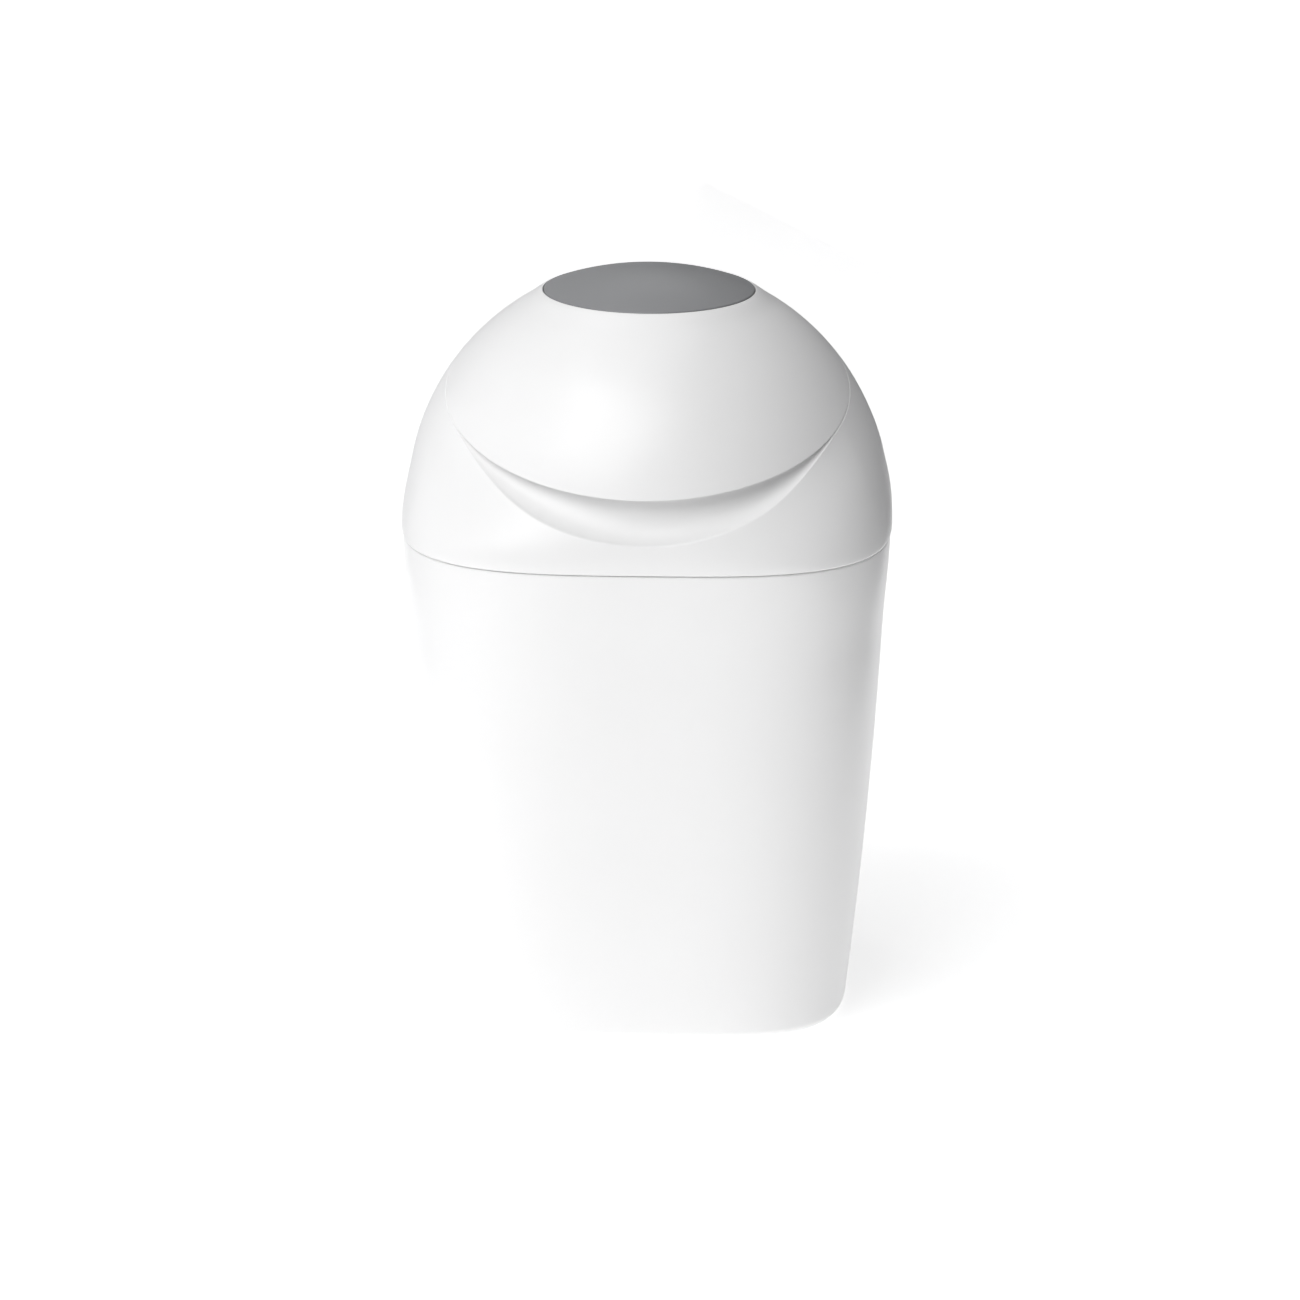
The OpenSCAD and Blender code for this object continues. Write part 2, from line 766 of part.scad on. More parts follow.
module cassette_well() {
    color("gainsboro")
    difference() {
        rotate_extrude()
            polygon([
                [ring_floor_in, well_floor_z],
                [well_out_r, well_floor_z],
                [well_out_r, flange_z],
                [well_flange_r, flange_z],
                [well_flange_r, seam_z],
                [rebate_r, seam_z],
                [rebate_r, rebate_z],
                [well_in_r, rebate_z],
                [well_in_r, well_floor_z + well_wall],
                [ring_floor_in, well_floor_z + well_wall]
            ]);
        translate([0, 0, flange_z - 1])
            at_corners(well_screw_r) cylinder(r = screw_r + screw_clear, h = flange_t + 2);
        translate([0, 0, well_floor_z - 1])
            at_corners(retainer_screw_r) cylinder(r = screw_r + pin_clear, h = well_wall + 2);
        translate([rebate_r - 1, -pocket_l / 2, rebate_z]) cube([pocket_d + 1, pocket_l, flange_t]);
    }
}

module well_screws() {
    color("silver") translate([0, 0, flange_z]) at_corners(well_screw_r) screw(flange_t + boss_h - 3);
}

// Twist ring

module twist_ring() {
    rim_h = 5;
    rim_taper = 2;
    rim_bevel = 1;
    grip_r = 3.2;
    grip_out = 1.2;
    notch_r = 1.3;
    notch_out = 0.3;
    color("lightsteelblue")
    difference() {
        union() {
            rotate_extrude()
                polygon([
                    [ring_floor_in, ring_floor_z],
                    [ring_out_r, ring_floor_z],
                    [ring_out_r, bearing_z],
                    [bearing_r, bearing_z],
                    [bearing_r, bearing_top],
                    [ring_out_r, bearing_top],
                    [ring_out_r, ring_top - rim_h - rim_taper],
                    [ring_rim_r, ring_top - rim_h],
                    [ring_rim_r, ring_top - rim_bevel],
                    [ring_rim_r - rim_bevel, ring_top],
                    [ring_in_r + rim_bevel, ring_top],
                    [ring_in_r, ring_top - rim_bevel],
                    [ring_in_r, ring_floor_z + ring_floor_t],
                    [ring_floor_in, ring_floor_z + ring_floor_t]
                ]);
            round_axis(keys)
                translate([cassette_r - key_depth, -key_w / 2, cassette_top + 0.3])
                cube([key_depth + cassette_gap + 1, key_w, cap_t - 0.3]);
        }
        round_axis(grips, 15)
            translate([ring_rim_r + grip_out, 0, ring_top - rim_h + rim_bevel])
            cylinder(r = grip_r, h = rim_h);
        round_axis(notches)
            translate([bearing_r + notch_out, 0, bearing_z - 1])
            cylinder(r = notch_r, h = bearing_t + 2);
    }
}

// Leaf spring that clicks over the notches: two flat arms and a rounded nose
module click_spring() {
    leaf = 0.5;
    nose_r = 1;
    nose_x = bearing_r + 0.4 + nose_r;
    seat_x = rebate_r + spring_seat;
    color("silver")
    union() {
        translate([seat_x, -spring_l / 2, bearing_z]) cube([leaf, spring_l, bearing_t]);
        translate([nose_x, 0, bearing_z]) cylinder(r = nose_r, h = bearing_t);
        translate([nose_x, -leaf / 2, bearing_z]) cube([seat_x - nose_x + leaf / 2, leaf, bearing_t]);
    }
}

// Cassette

module cassette_tub() {
    out_in = cassette_r - cassette_wall;
    bore_out = throat_r + cassette_wall;
    color("aliceblue")
    rotate_extrude()
    polygon([
        [throat_r, cassette_z],
        [cassette_r, cassette_z],
        [cassette_r, cassette_top],
        [out_in, cassette_top],
        [out_in, cassette_z + cassette_wall],
        [bore_out, cassette_z + cassette_wall],
        [bore_out, inner_lip_z],
        [throat_r + cassette_wall / 2, inner_lip_z + 0.8],
        [throat_r, inner_lip_z]
    ]);
}

module cassette_cap() {
    skirt_out = cassette_r - cassette_wall - 0.1;
    skirt_t = 1.4;
    skirt_h = 5;
    lip_down = 3;
    cap_bevel = 0.8;
    color("powderblue")
    difference() {
        rotate_extrude()
            polygon([
                [cap_in_r, cassette_top - lip_down],
                [cap_in_r + skirt_t, cassette_top - lip_down],
                [cap_in_r + skirt_t, cassette_top],
                [skirt_out - skirt_t, cassette_top],
                [skirt_out - skirt_t, cassette_top - skirt_h],
                [skirt_out, cassette_top - skirt_h],
                [skirt_out, cassette_top],
                [cassette_r, cassette_top],
                [cassette_r, cassette_top + cap_t - cap_bevel],
                [cassette_r - cap_bevel, cassette_top + cap_t],
                [cap_in_r + cap_bevel, cassette_top + cap_t],
                [cap_in_r, cassette_top + cap_t - cap_bevel]
            ]);
        round_axis(keys)
            translate([cassette_r - key_depth - key_gap, -key_w / 2 - key_gap, cassette_top - 0.2])
            cube([key_depth + 2, key_w + 2 * key_gap, cap_t + 1]);
    }
}

module film_pack() {
    folds = floor((pack_top - pack_z) / fold_pitch);
    color("azure")
    rotate_extrude()
    polygon(concat(
        [
            for (k = [0 : folds]) each [
                [pack_out_r, pack_z + k * fold_pitch],
                if (k < folds) [pack_out_r - fold_depth, pack_z + (k + 0.5) * fold_pitch]
            ]
        ],
        [
            for (k = [folds : -1 : 0]) each [
                [pack_in_r, pack_z + k * fold_pitch],
                if (k > 0) [pack_in_r + fold_depth, pack_z + (k - 0.5) * fold_pitch]
            ]
        ]
    ));
}

// Film drawn over the cassette's inner wall, down the throat and gathered into a knot
module film_sleeve() {
    neck_r = 4;
    in_r = throat_r - film_clear;
    out_r = throat_r + cassette_wall + film_clear;
    over_z = inner_lip_z + 0.8 + film_clear;
    neck_z = knot_z + knot_r + 1;
    gather_z = ring_floor_z + gather_lift;
    color("azure")
    union() {
        rotate_extrude()
            polygon([
                [out_r, pack_top - 4],
                [out_r + film_t, pack_top - 4],
                [out_r + film_t, over_z - 1],
                [out_r - 0.6, over_z + film_t],
                [in_r + 0.6, over_z + film_t],
                [in_r - film_t, over_z - 1],
                [in_r - film_t, gather_z],
                [neck_r + 6, neck_z + 3.4],
                [0, neck_z + 1.5],
                [0, knot_z],
                [neck_r, knot_z],
                [neck_r, neck_z],
                [neck_r + 6, neck_z + 2.6],
                [in_r, gather_z - 0.6],
                [in_r, over_z - 1],
                [in_r + 0.8, over_z],
                [out_r - 0.8, over_z],
                [out_r, over_z - 1]
            ]);
        translate([0, 0, knot_z]) sphere(r = knot_r);
    }
}

// Clamp

module finger_clamp() {
    color("lightgray")
    difference() {
        rotate_extrude()
            polygon([
                [clamp_r, well_floor_z],
                [clamp_r, well_floor_z - clamp_t],
                [clamp_in_r, well_floor_z - clamp_t],
                [finger_hole_r, tip_z],
                [finger_hole_r, tip_z + finger_t],
                [clamp_in_r - 2, well_floor_z]
            ]);
        round_axis(fingers)
            translate([finger_hole_r - 2, -finger_slot / 2, tip_z - 2])
            cube([clamp_in_r - finger_root - finger_hole_r + 2, finger_slot, finger_drop + clamp_t + 4]);
    }
}

module clamp_retainer() {
    color("gainsboro")
    difference() {
        union() {
            rotate_extrude()
                translate([retainer_in_r, retainer_z])
                square([retainer_r - retainer_in_r, retainer_t]);
            translate([0, 0, retainer_z])
                at_corners(retainer_screw_r) cylinder(r = boss_r, h = well_floor_z - retainer_z);
        }
        translate([0, 0, retainer_z - 1])
            at_corners(retainer_screw_r)
            cylinder(r = screw_r + screw_clear, h = well_floor_z - retainer_z + 2);
        for (s = [-1, 1])
            translate([s * guide_screw_r, 0, retainer_z - 1])
            cylinder(r = screw_r + pin_clear, h = retainer_t + 2);
    }
}

module retainer_screws() {
    color("silver")
    translate([0, 0, retainer_z])
    at_corners(retainer_screw_r)
    screw(well_floor_z + well_wall - retainer_z - screw_tip);
}

// Cutter

// Profile of a rail from its outer side to its grooved inner side
module rail() {
    groove_z = (rail_h - tongue_h) / 2 - carriage_gap;
    translate([-rail_half_l, rail_half_gap, rail_z])
    difference() {
        cube([2 * rail_half_l, rail_w, rail_h]);
        translate([-1, -1, groove_z])
            cube([2 * rail_half_l + 2, 1 + tongue_w + carriage_gap, tongue_h + 2 * carriage_gap]);
    }
}

module cutter_guide() {
    leg_h = retainer_z - rail_z;
    span = 2 * (rail_half_gap + rail_w);
    color("gainsboro")
    difference() {
        union() {
            rail();
            mirror([0, 1, 0]) rail();
            for (s = [-1, 1])
                translate([s * (rail_half_l - rail_end_w / 2) - rail_end_w / 2, -span / 2, rail_z])
                cube([rail_end_w, span, leg_h]);
            for (s = [-1, 1])
                translate([s * (rail_half_l - guide_foot_l / 2), 0, retainer_z - guide_foot_t / 2])
                cube([guide_foot_l, span, guide_foot_t], center = true);
        }
        for (s = [-1, 1])
            translate([s * guide_screw_r, 0, retainer_z - guide_foot_t - 1])
            cylinder(r = screw_r + screw_clear, h = guide_foot_t + 2);
    }
}

module guide_screws() {
    color("silver")
    for (s = [-1, 1])
        translate([s * guide_screw_r, 0, retainer_z - guide_foot_t])
        screw(guide_foot_t + retainer_t - screw_tip);
}

module cutter_carriage() {
    half = rail_half_gap - carriage_gap;
    tongue_z = rail_z + (rail_h - tongue_h) / 2;
    color("darkgray")
    difference() {
        union() {
            translate([carriage_x, -half, rail_z]) cube([carriage_l, 2 * half, rail_h]);
            translate([carriage_x, -half - tongue_w, tongue_z])
                cube([carriage_l, 2 * (half + tongue_w), tongue_h]);
            translate([carriage_x + (carriage_l - tab_l) / 2, -half + 1, rail_z - tab_h])
                cube([tab_l, 2 * half - 2, tab_h + eps]);
        }
        translate([carriage_x + carriage_l - blade_seat, -half - 1, blade_z])
            cube([blade_seat + 1, 2 * half + 2, blade_t + 0.1]);
    }
}

module cutter_blade() {
    half = rail_half_gap - carriage_gap - 0.6;
    back = 0.5 - blade_seat;
    color("silver")
    translate([carriage_x + carriage_l, 0, blade_z + 0.05])
    linear_extrude(blade_t - 0.05)
    polygon([[back, -half], [blade_shoulder, -half], [blade_reach, 0], [blade_shoulder, half], [back, half]]);
}

// Snap clip: a foot under the head's floor and a tongue just inside the tub's front wall
module snap_clip() {
    color("gainsboro")
    difference() {
        union() {
            translate([-clip_w / 2, -clip_face_y, seam_z - clip_t]) cube([clip_w, clip_foot, clip_t]);
            translate([-clip_w / 2, -clip_face_y, seam_z - clip_h]) cube([clip_w, clip_t, clip_h]);
        }
        translate([0, 0, seam_z - clip_t - 1])
            at_clip_screws() cylinder(r = screw_r + screw_clear, h = clip_t + 2);
    }
}

module clip_screws() {
    color("silver") at_clip_screws() translate([0, 0, seam_z - clip_t]) screw(clip_t + boss_h - 3);
}

tub();
head_shell();
dome_lid();
top_disc();
lid_liner();
lid_seal();
liner_screws();
lid_hinge_pin();
head_hinge_pin();
cassette_well();
well_screws();
twist_ring();
click_spring();
cassette_tub();
cassette_cap();
film_pack();
film_sleeve();
finger_clamp();
clamp_retainer();
retainer_screws();
cutter_guide();
guide_screws();
cutter_carriage();
cutter_blade();
snap_clip();
clip_screws();
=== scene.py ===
"""Nappy bin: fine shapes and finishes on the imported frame, in metres, front towards -Y."""

import math

import bpy
from bpy.props import FloatProperty, IntProperty, PointerProperty, StringProperty
from mathutils import Matrix, Vector


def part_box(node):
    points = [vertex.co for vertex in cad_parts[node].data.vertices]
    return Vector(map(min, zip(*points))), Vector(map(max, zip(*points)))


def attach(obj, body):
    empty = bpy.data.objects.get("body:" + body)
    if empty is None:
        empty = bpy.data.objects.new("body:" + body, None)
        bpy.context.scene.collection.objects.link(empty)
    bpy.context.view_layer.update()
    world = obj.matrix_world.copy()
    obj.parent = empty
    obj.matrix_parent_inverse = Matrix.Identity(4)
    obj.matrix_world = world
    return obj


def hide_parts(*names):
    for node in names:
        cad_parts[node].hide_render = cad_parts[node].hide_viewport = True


bl_info = {
    "name": "Nappy bin",
    "version": (1, 0, 0),
    "blender": (4, 5, 0),
    "location": "View3D > Sidebar > Nappy bin",
    "description": "Shells, film, seal, finishes and studio of a domed nappy bin",
    "category": "Object",
}

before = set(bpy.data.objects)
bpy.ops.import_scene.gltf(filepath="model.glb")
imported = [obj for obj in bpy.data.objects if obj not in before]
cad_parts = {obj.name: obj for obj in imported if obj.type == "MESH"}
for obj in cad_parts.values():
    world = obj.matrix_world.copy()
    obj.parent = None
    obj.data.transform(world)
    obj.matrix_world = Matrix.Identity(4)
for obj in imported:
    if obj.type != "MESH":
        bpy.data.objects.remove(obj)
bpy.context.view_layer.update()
MM = 0.001
DRIFT_MM = 60


def length(label, about, default):
    """A size in metres that a user may change."""
    return FloatProperty(name=label, description=about, default=default, unit="LENGTH", precision=5)


def angle(label, about, degrees):
    """An angle that a user may change."""
    return FloatProperty(name=label, description=about, default=math.radians(degrees), subtype="ANGLE")


def colour(label, about, default):
    """A colour as an sRGB hex value."""
    return StringProperty(name=label, description=about, default=default)


def share(label, about, default):
    """A factor from 0 to 1."""
    return FloatProperty(name=label, description=about, default=default, min=0, max=1, subtype="FACTOR")


class BinShape(bpy.types.PropertyGroup):
    """Sizes of the shells"""

    dome_radius: length("Dome radius", "Radius of the sphere that the dome follows", 0.1265)
    dome_height: length("Dome height", "Height of the sphere's centre above the floor", 0.264)
    lid_slope: angle("Lid slope", "Slope of the parting plane, low at the front", 19)
    lid_rise: length("Lid rise", "Where the parting plane meets the upright axis", 0.074)
    lid_wall: length("Lid wall", "Wall of the lid", 0.0025)
    lid_gap: length("Lid gap", "Air between lid and head", 0.0003)
    disc_radius: length("Disc radius", "Radius of the grey disc", 0.0552)
    disc_gap: length("Disc gap", "Air round the disc", 0.0005)
    disc_depth: length("Disc depth", "Depth of the disc's seat", 0.0032)
    disc_drop: length("Disc drop", "How far the disc's middle stays below the sphere", 0.0014)
    disc_round: length("Disc rounding", "Rounding of the disc's rim", 0.0008)
    disc_rim_drop: length("Disc rim drop", "How far the disc's rim stays below the lip", 0.0)
    lip_height: length("Lip height", "Height of the raised lip round the seat", 0.0011)
    lip_width: length("Lip width", "Width over which the lip falls back", 0.011)
    seam_height: length("Seam height", "Height of the seam between tub and head", 0.258)
    head_wall: length("Head wall", "Wall of the head", 0.0025)
    head_swell: length("Head swell", "How far the head swells at the seam", 0.0022)
    swell_fade: length("Swell fade", "Height over which the swell fades", 0.03)
    mouth_radius: length("Mouth radius", "Radius of the lid's seat, in its plane", 0.093012)
    floor_hole: length("Floor hole", "Radius of the hole in the head's floor", 0.0916)
    recess_height: length("Recess height", "Height of the finger recess", 0.022)
    recess_depth: length("Recess depth", "Depth of the finger recess", 0.0074)
    recess_angle: angle("Recess angle", "Half of the angle that the recess spans", 60)
    recess_scoop: share("Recess scoop", "0 is a flat slope, 1 a quarter of an ellipse", 0.85)
    recess_taper: FloatProperty(name="Recess taper", description="How fast it narrows", default=2)
    edge_bevel: length("Edge bevel", "Bevel round the rest of the lid's edge", 0.0004)
    recess_softness: length("Recess softness", "Rounding of the recess's lower edge", 0.0012)
    base_half: length("Base half width", "Half width of the tub at its base", 0.1066)
    rim_half: length("Rim half width", "Half width of the tub under the seam", 0.1264)
    side_bow: length("Side bow", "How far the sides bow outwards", 0.0028)
    rim_flare: length("Rim flare", "How far the rim flares", 0.0014)
    flare_start: length("Flare start", "Height at which the rim begins to flare", 0.206)
    flare_height: length("Flare height", "Height over which the rim flares", 0.044)
    rim_round: length("Rim rounding", "Rounding of the tub's rim", 0.0011)
    tub_wall: length("Tub wall", "Wall of the tub", 0.0028)
    base_round: length("Base rounding", "Radius of the edge round the base", 0.006)
    seam_gap: length("Seam gap", "Air between tub and head", 0.0004)
    squareness: FloatProperty(name="Squareness", description="Plan at the seam, 2 is round", default=3.27)
    base_squareness: FloatProperty(name="Base squareness", description="Plan at the base", default=3.65)
    sides: IntProperty(name="Sides", description="Steps round the shells", default=288, min=96)


class BinFinish(bpy.types.PropertyGroup):
    """Colours and gloss of the finishes"""

    shell: colour("Shell", "White of the tub, head and lid", "#F6F6F6")
    disc: colour("Disc", "Grey of the top disc", "#8D8E90")
    inner: colour("Inner parts", "White of the parts inside", "#E6E8E8")
    ring: colour("Twist ring", "Tint of the twist ring", "#C3D0DC")
    cassette: colour("Cassette", "Tint of the film cassette", "#D9E8F0")
    clamp: colour("Clamp", "Grey of the finger clamp", "#C4C6C8")
    cutter: colour("Cutter", "Grey of the cutter's carriage", "#74777B")
    film: colour("Film", "Tint of the film", "#E3EFF5")
    seal: colour("Seal", "Grey of the rubber seal", "#77797B")
    steel: colour("Steel", "Zinc-plated steel", "#C2C4C6")
    blade: colour("Blade", "Ground steel of the blade", "#CDCFD1")
    shell_roughness: share("Shell roughness", "Roughness of the glossy shells", 0.28)
    disc_roughness: share("Disc roughness", "Roughness of the satin disc", 0.38)


class BinStudio(bpy.types.PropertyGroup):
    """Camera, floor and lights"""

    distance: length("Camera distance", "Distance from the aim", 4.0)
    aim_height: length("Aim height", "Height that the camera aims at", 0.2)
    azimuth: angle("Azimuth", "How far the camera stands to the right", 1.226)
    elevation: angle("Elevation", "How far the camera stands above the horizon", 15.752)
    roll: angle("Roll", "Turn of the camera about its own axis", 0.311)
    lens: FloatProperty(name="Lens", description="Focal length in millimetres", default=209.46)
    shift_x: FloatProperty(name="Shift X", description="Sideways shift of the frame", default=0.00203)
    shift_y: FloatProperty(name="Shift Y", description="Upward shift of the frame", default=-0.02475)
    world: FloatProperty(name="World", description="Strength of the white surroundings", default=0.04)
    glow: FloatProperty(name="Floor glow", description="Light from the lit floor itself", default=0.5)
    key: FloatProperty(name="Key light", description="Power of the light at the left front", default=48)
    back: FloatProperty(name="Back light", description="Power of the light at the left back", default=12)
    front_top: FloatProperty(name="Front top light", description="Power of the light high in front", default=14)
    top: FloatProperty(name="Top light", description="Power of the light above", default=17)


def shape():
    return bpy.context.scene.bin_shape


def finish():
    return bpy.context.scene.bin_finish


def ease(t):
    """Smooth step from 0 to 1."""
    c = min(1.0, max(0.0, t))
    return c * c * (3 - 2 * c)


def squircle(t, n):
    """Radius factor of a squircle of exponent n, 1 at the middle of each side."""
    return (abs(math.cos(t)) ** n + abs(math.sin(t)) ** n) ** (-1 / n)


def azimuths(s):
    return [2 * math.pi * i / s.sides for i in range(s.sides)]


def plane_r(s, t, radius, height):
    """Radius at azimuth t of the circle in which a sphere meets the parting plane."""
    k = math.tan(s.lid_slope) * math.sin(t)
    q = 1 + k * k
    return (math.sqrt(radius * radius * q - height * height) - height * k) / q


def plane_z(s, t, r, height):
    return s.dome_height + height + math.tan(s.lid_slope) * r * math.sin(t)


def sphere_z(s, r, inset=0.0):
    return s.dome_height + math.sqrt((s.dome_radius - inset) ** 2 - r * r)


def soften(corners, steps=5):
    """Profile of (r, z, fillet) corners as points, each fillet a short curve across its corner."""
    points = []
    count = len(corners)
    for i, (r, z, fillet) in enumerate(corners):
        here = Vector((r, z))
        if not fillet:
            points.append(here)
            continue
        before = Vector(corners[i - 1][:2]) - here
        after = Vector(corners[(i + 1) % count][:2]) - here
        start = here + before.normalized() * min(fillet, 0.45 * before.length)
        end = here + after.normalized() * min(fillet, 0.45 * after.length)
        for k in range(steps + 1):
            u = k / steps
            points.append(start * (1 - u) ** 2 + here * 2 * u * (1 - u) + end * u * u)
    return points


def mesh_object(name, points, faces, sharp_degrees=32):
    """Object of the given mesh, normals outward, smooth except at edges sharper than the angle."""
    mesh = bpy.data.meshes.new(name)
    mesh.from_pydata([tuple(p) for p in points], [], faces)
    if mesh.validate():
        raise RuntimeError(f"{name}: the mesh had faulty faces")
    mesh.update()
    mesh.shade_smooth()
    mesh.set_sharp_from_angle(angle=math.radians(sharp_degrees))
    obj = bpy.data.objects.new(name, mesh)
    bpy.context.scene.collection.objects.link(obj)
    return obj


def skin(rings, looped=False, poles=None):
    """Points and faces of a closed skin through equal rings; poles are the centres of its two ends."""
    n = len(rings[0])
    points = [p for ring in rings for p in ring]
    bands = len(rings) if looped else len(rings) - 1
    faces = []
    for j in range(bands):
        k = (j + 1) % len(rings)
        for i in range(n):
            m = (i + 1) % n
            faces.append((j * n + i, j * n + m, k * n + m, k * n + i))
    if poles:
        first, last = poles
        low = len(points)
        points += [first, last]
        top = (len(rings) - 1) * n
        for i in range(n):
            m = (i + 1) % n
            faces.append((low, m, i))
            faces.append((low + 1, top + i, top + m))
    return points, faces


def rings_from(profiles, angles):
    """Turns one (r, z) profile per azimuth into rings."""
    count = len(profiles[0])
    return [
        [(p[k][0] * math.cos(t), p[k][0] * math.sin(t), p[k][1]) for p, t in zip(profiles, angles)]
        for k in range(count)
    ]


def flipped(faces):
    return [tuple(reversed(f)) for f in faces]


def together(parts):
    """One list of points and one of faces from several closed skins."""
    points, faces = [], []
    for some_points, some_faces in parts:
        base = len(points)
        points += list(some_points)
        faces += [tuple(base + i for i in f) for f in some_faces]
    return points, faces


def outward(points, faces):
    """The faces, turned if they enclose a negative volume."""
    total = 0.0
    for f in faces:
        a = Vector(points[f[0]])
        for i in range(1, len(f) - 1):
            total += a.dot(Vector(points[f[i]]).cross(Vector(points[f[i + 1]])))
    return faces if total > 0 else flipped(faces)


def solid(points, faces):
    return points, outward(points, faces)


def hinge_lug(centre, radius, bore, outline, x_low, x_high, chamfer):
    """Knuckle and web as one closed tube round its bore; outline and centre are (y, z)."""
    around = [math.atan2(z - centre[1], y - centre[0]) for y, z in outline]
    hole = [(centre[0] + bore * math.cos(a), centre[1] + bore * math.sin(a)) for a in around]
    middle = Vector(centre)
    drawn_in = []
    for y, z in outline:
        d = Vector((y, z)) - middle
        drawn_in.append(tuple(middle + d * (1 - chamfer / max(d.length, radius))))
    rings = [
        [(x_low + chamfer, y, z) for y, z in outline],
        [(x_high - chamfer, y, z) for y, z in outline],
        [(x_high, y, z) for y, z in drawn_in],
        [(x_high, y, z) for y, z in hole],
        [(x_low, y, z) for y, z in hole],
        [(x_low, y, z) for y, z in drawn_in],
    ]
    return solid(*skin(rings, looped=True))


def arc(centre, radius, first, last, steps=20):
    """Points of an arc between two angles in radians, counter-clockwise."""
    if last < first:
        last += 2 * math.pi
    return [
        (
            centre[0] + radius * math.cos(first + (last - first) * k / steps),
            centre[1] + radius * math.sin(first + (last - first) * k / steps),
        )
        for k in range(steps + 1)
    ]


def along(a, b, steps):
    """Points from a towards b, without b."""
    return [(a[0] + (b[0] - a[0]) * k / steps, a[1] + (b[1] - a[1]) * k / steps) for k in range(steps)]


def knuckles(node_pin, count, first):
    """Spans (x_low, x_high) of every second knuckle on a pin, from the first or second one on."""
    low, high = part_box(node_pin)
    gap = 0.4 * MM
    pitch = (high.x - low.x + gap) / count
    width = pitch - gap
    spans = []
    for k in range(first, count, 2):
        mid = (k - (count - 1) / 2) * pitch
        spans.append((mid - width / 2, mid + width / 2))
    return spans


def pin_centre(node_pin):
    low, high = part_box(node_pin)
    return (low.y + high.y) / 2, (low.z + high.z) / 2


def put_on(obj, body, slot, material, *nodes):
    """Gives a piece its material and its body, and hides the nodes that it stands for; the slot is not used."""
    obj.data.materials.append(material)
    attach(obj, body)
    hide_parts(*nodes)
    return obj


# Materials


def linear(hex_value):
    """sRGB hex as linear RGBA."""
    parts = [int(hex_value[i : i + 2], 16) / 255 for i in (1, 3, 5)]
    return tuple(c / 12.92 if c <= 0.04045 else ((c + 0.055) / 1.055) ** 2.4 for c in parts) + (1,)


def add(tree, kind, inputs=(), **settings):
    """Adds a node with its settings; an input is a value, or a socket to link from."""
    node = tree.nodes.new(kind)
    for key, value in settings.items():
        setattr(node, key, value)
    for key, value in dict(inputs).items():
        if isinstance(value, bpy.types.NodeSocket):
            tree.links.new(value, node.inputs[key])
        else:
            node.inputs[key].default_value = value
    return node


def new_material(name):
    """Empty node material with its output and shader."""
    material = bpy.data.materials.get(name)
    if material:
        return material, None, None
    material = bpy.data.materials.new(name)
    material.use_nodes = True
    tree = material.node_tree
    tree.nodes.clear()
    shader = add(tree, "ShaderNodeBsdfPrincipled")
    output = add(tree, "ShaderNodeOutputMaterial")
    tree.links.new(shader.outputs["BSDF"], output.inputs["Surface"])
    return material, tree, shader


def moulded(name, hex_value, roughness, ior, tint=0.02, grain_mm=1.6, relief_mm=0.004, spread=0.03):
    """Moulded plastic: tone that drifts over a hand's width, gloss and relief that follow the grain."""
    material, tree, shader = new_material(name)
    if tree is None:
        return material
    place = add(tree, "ShaderNodeTexCoord").outputs["Object"]
    drift = add(tree, "ShaderNodeTexNoise", {"Vector": place, "Scale": 1 / (DRIFT_MM * MM), "Detail": 2})
    base = linear(hex_value)
    darker = tuple(c * (1 - tint) for c in base[:3]) + (1,)
    tone = add(tree, "ShaderNodeMix", {0: drift.outputs["Fac"], 6: base, 7: darker}, data_type="RGBA")
    tree.links.new(tone.outputs[2], shader.inputs["Base Color"])
    grain = add(tree, "ShaderNodeTexNoise", {"Vector": place, "Scale": 1 / (grain_mm * MM), "Detail": 3})
    limits = {"To Min": roughness - spread, "To Max": roughness + spread}
    gloss = add(tree, "ShaderNodeMapRange", {"Value": grain.outputs["Fac"], **limits})
    tree.links.new(gloss.outputs["Result"], shader.inputs["Roughness"])
    relief = {"Height": grain.outputs["Fac"], "Strength": 0.35, "Distance": relief_mm * MM}
    bump = add(tree, "ShaderNodeBump", relief)
    tree.links.new(bump.outputs["Normal"], shader.inputs["Normal"])
    shader.inputs["IOR"].default_value = ior
    return material


def drawn_steel(name, hex_value, roughness):
    """Steel with fine marks along X, 0.4 mm apart so that they show, where real ones are finer."""
    material, tree, shader = new_material(name)
    if tree is None:
        return material
    place = add(tree, "ShaderNodeTexCoord").outputs["Object"]
    across = 1 / (0.4 * MM)
    lengthwise = 1 / (9 * MM)
    run = add(tree, "ShaderNodeMapping", {"Vector": place, "Scale": (lengthwise, across, across)})
    marks = add(tree, "ShaderNodeTexNoise", {"Vector": run.outputs["Vector"], "Scale": 1, "Detail": 4})
    limits = {"To Min": roughness - 0.08, "To Max": roughness + 0.08}
    gloss = add(tree, "ShaderNodeMapRange", {"Value": marks.outputs["Fac"], **limits})
    tree.links.new(gloss.outputs["Result"], shader.inputs["Roughness"])
    relief = {"Height": marks.outputs["Fac"], "Strength": 0.4, "Distance": 0.01 * MM}
    bump = add(tree, "ShaderNodeBump", relief)
    tree.links.new(bump.outputs["Normal"], shader.inputs["Normal"])
    shader.inputs["Base Color"].default_value = linear(hex_value)
    shader.inputs["Metallic"].default_value = 1
    return material


def shell_material():
    # Moulded in a polished steel tool: an even white whose gloss stays soft at the edge of a light
    tone, roughness = finish().shell, finish().shell_roughness
    return moulded("Gloss moulded polypropylene", tone, roughness, 1.49, relief_mm=0.001, spread=0.01)


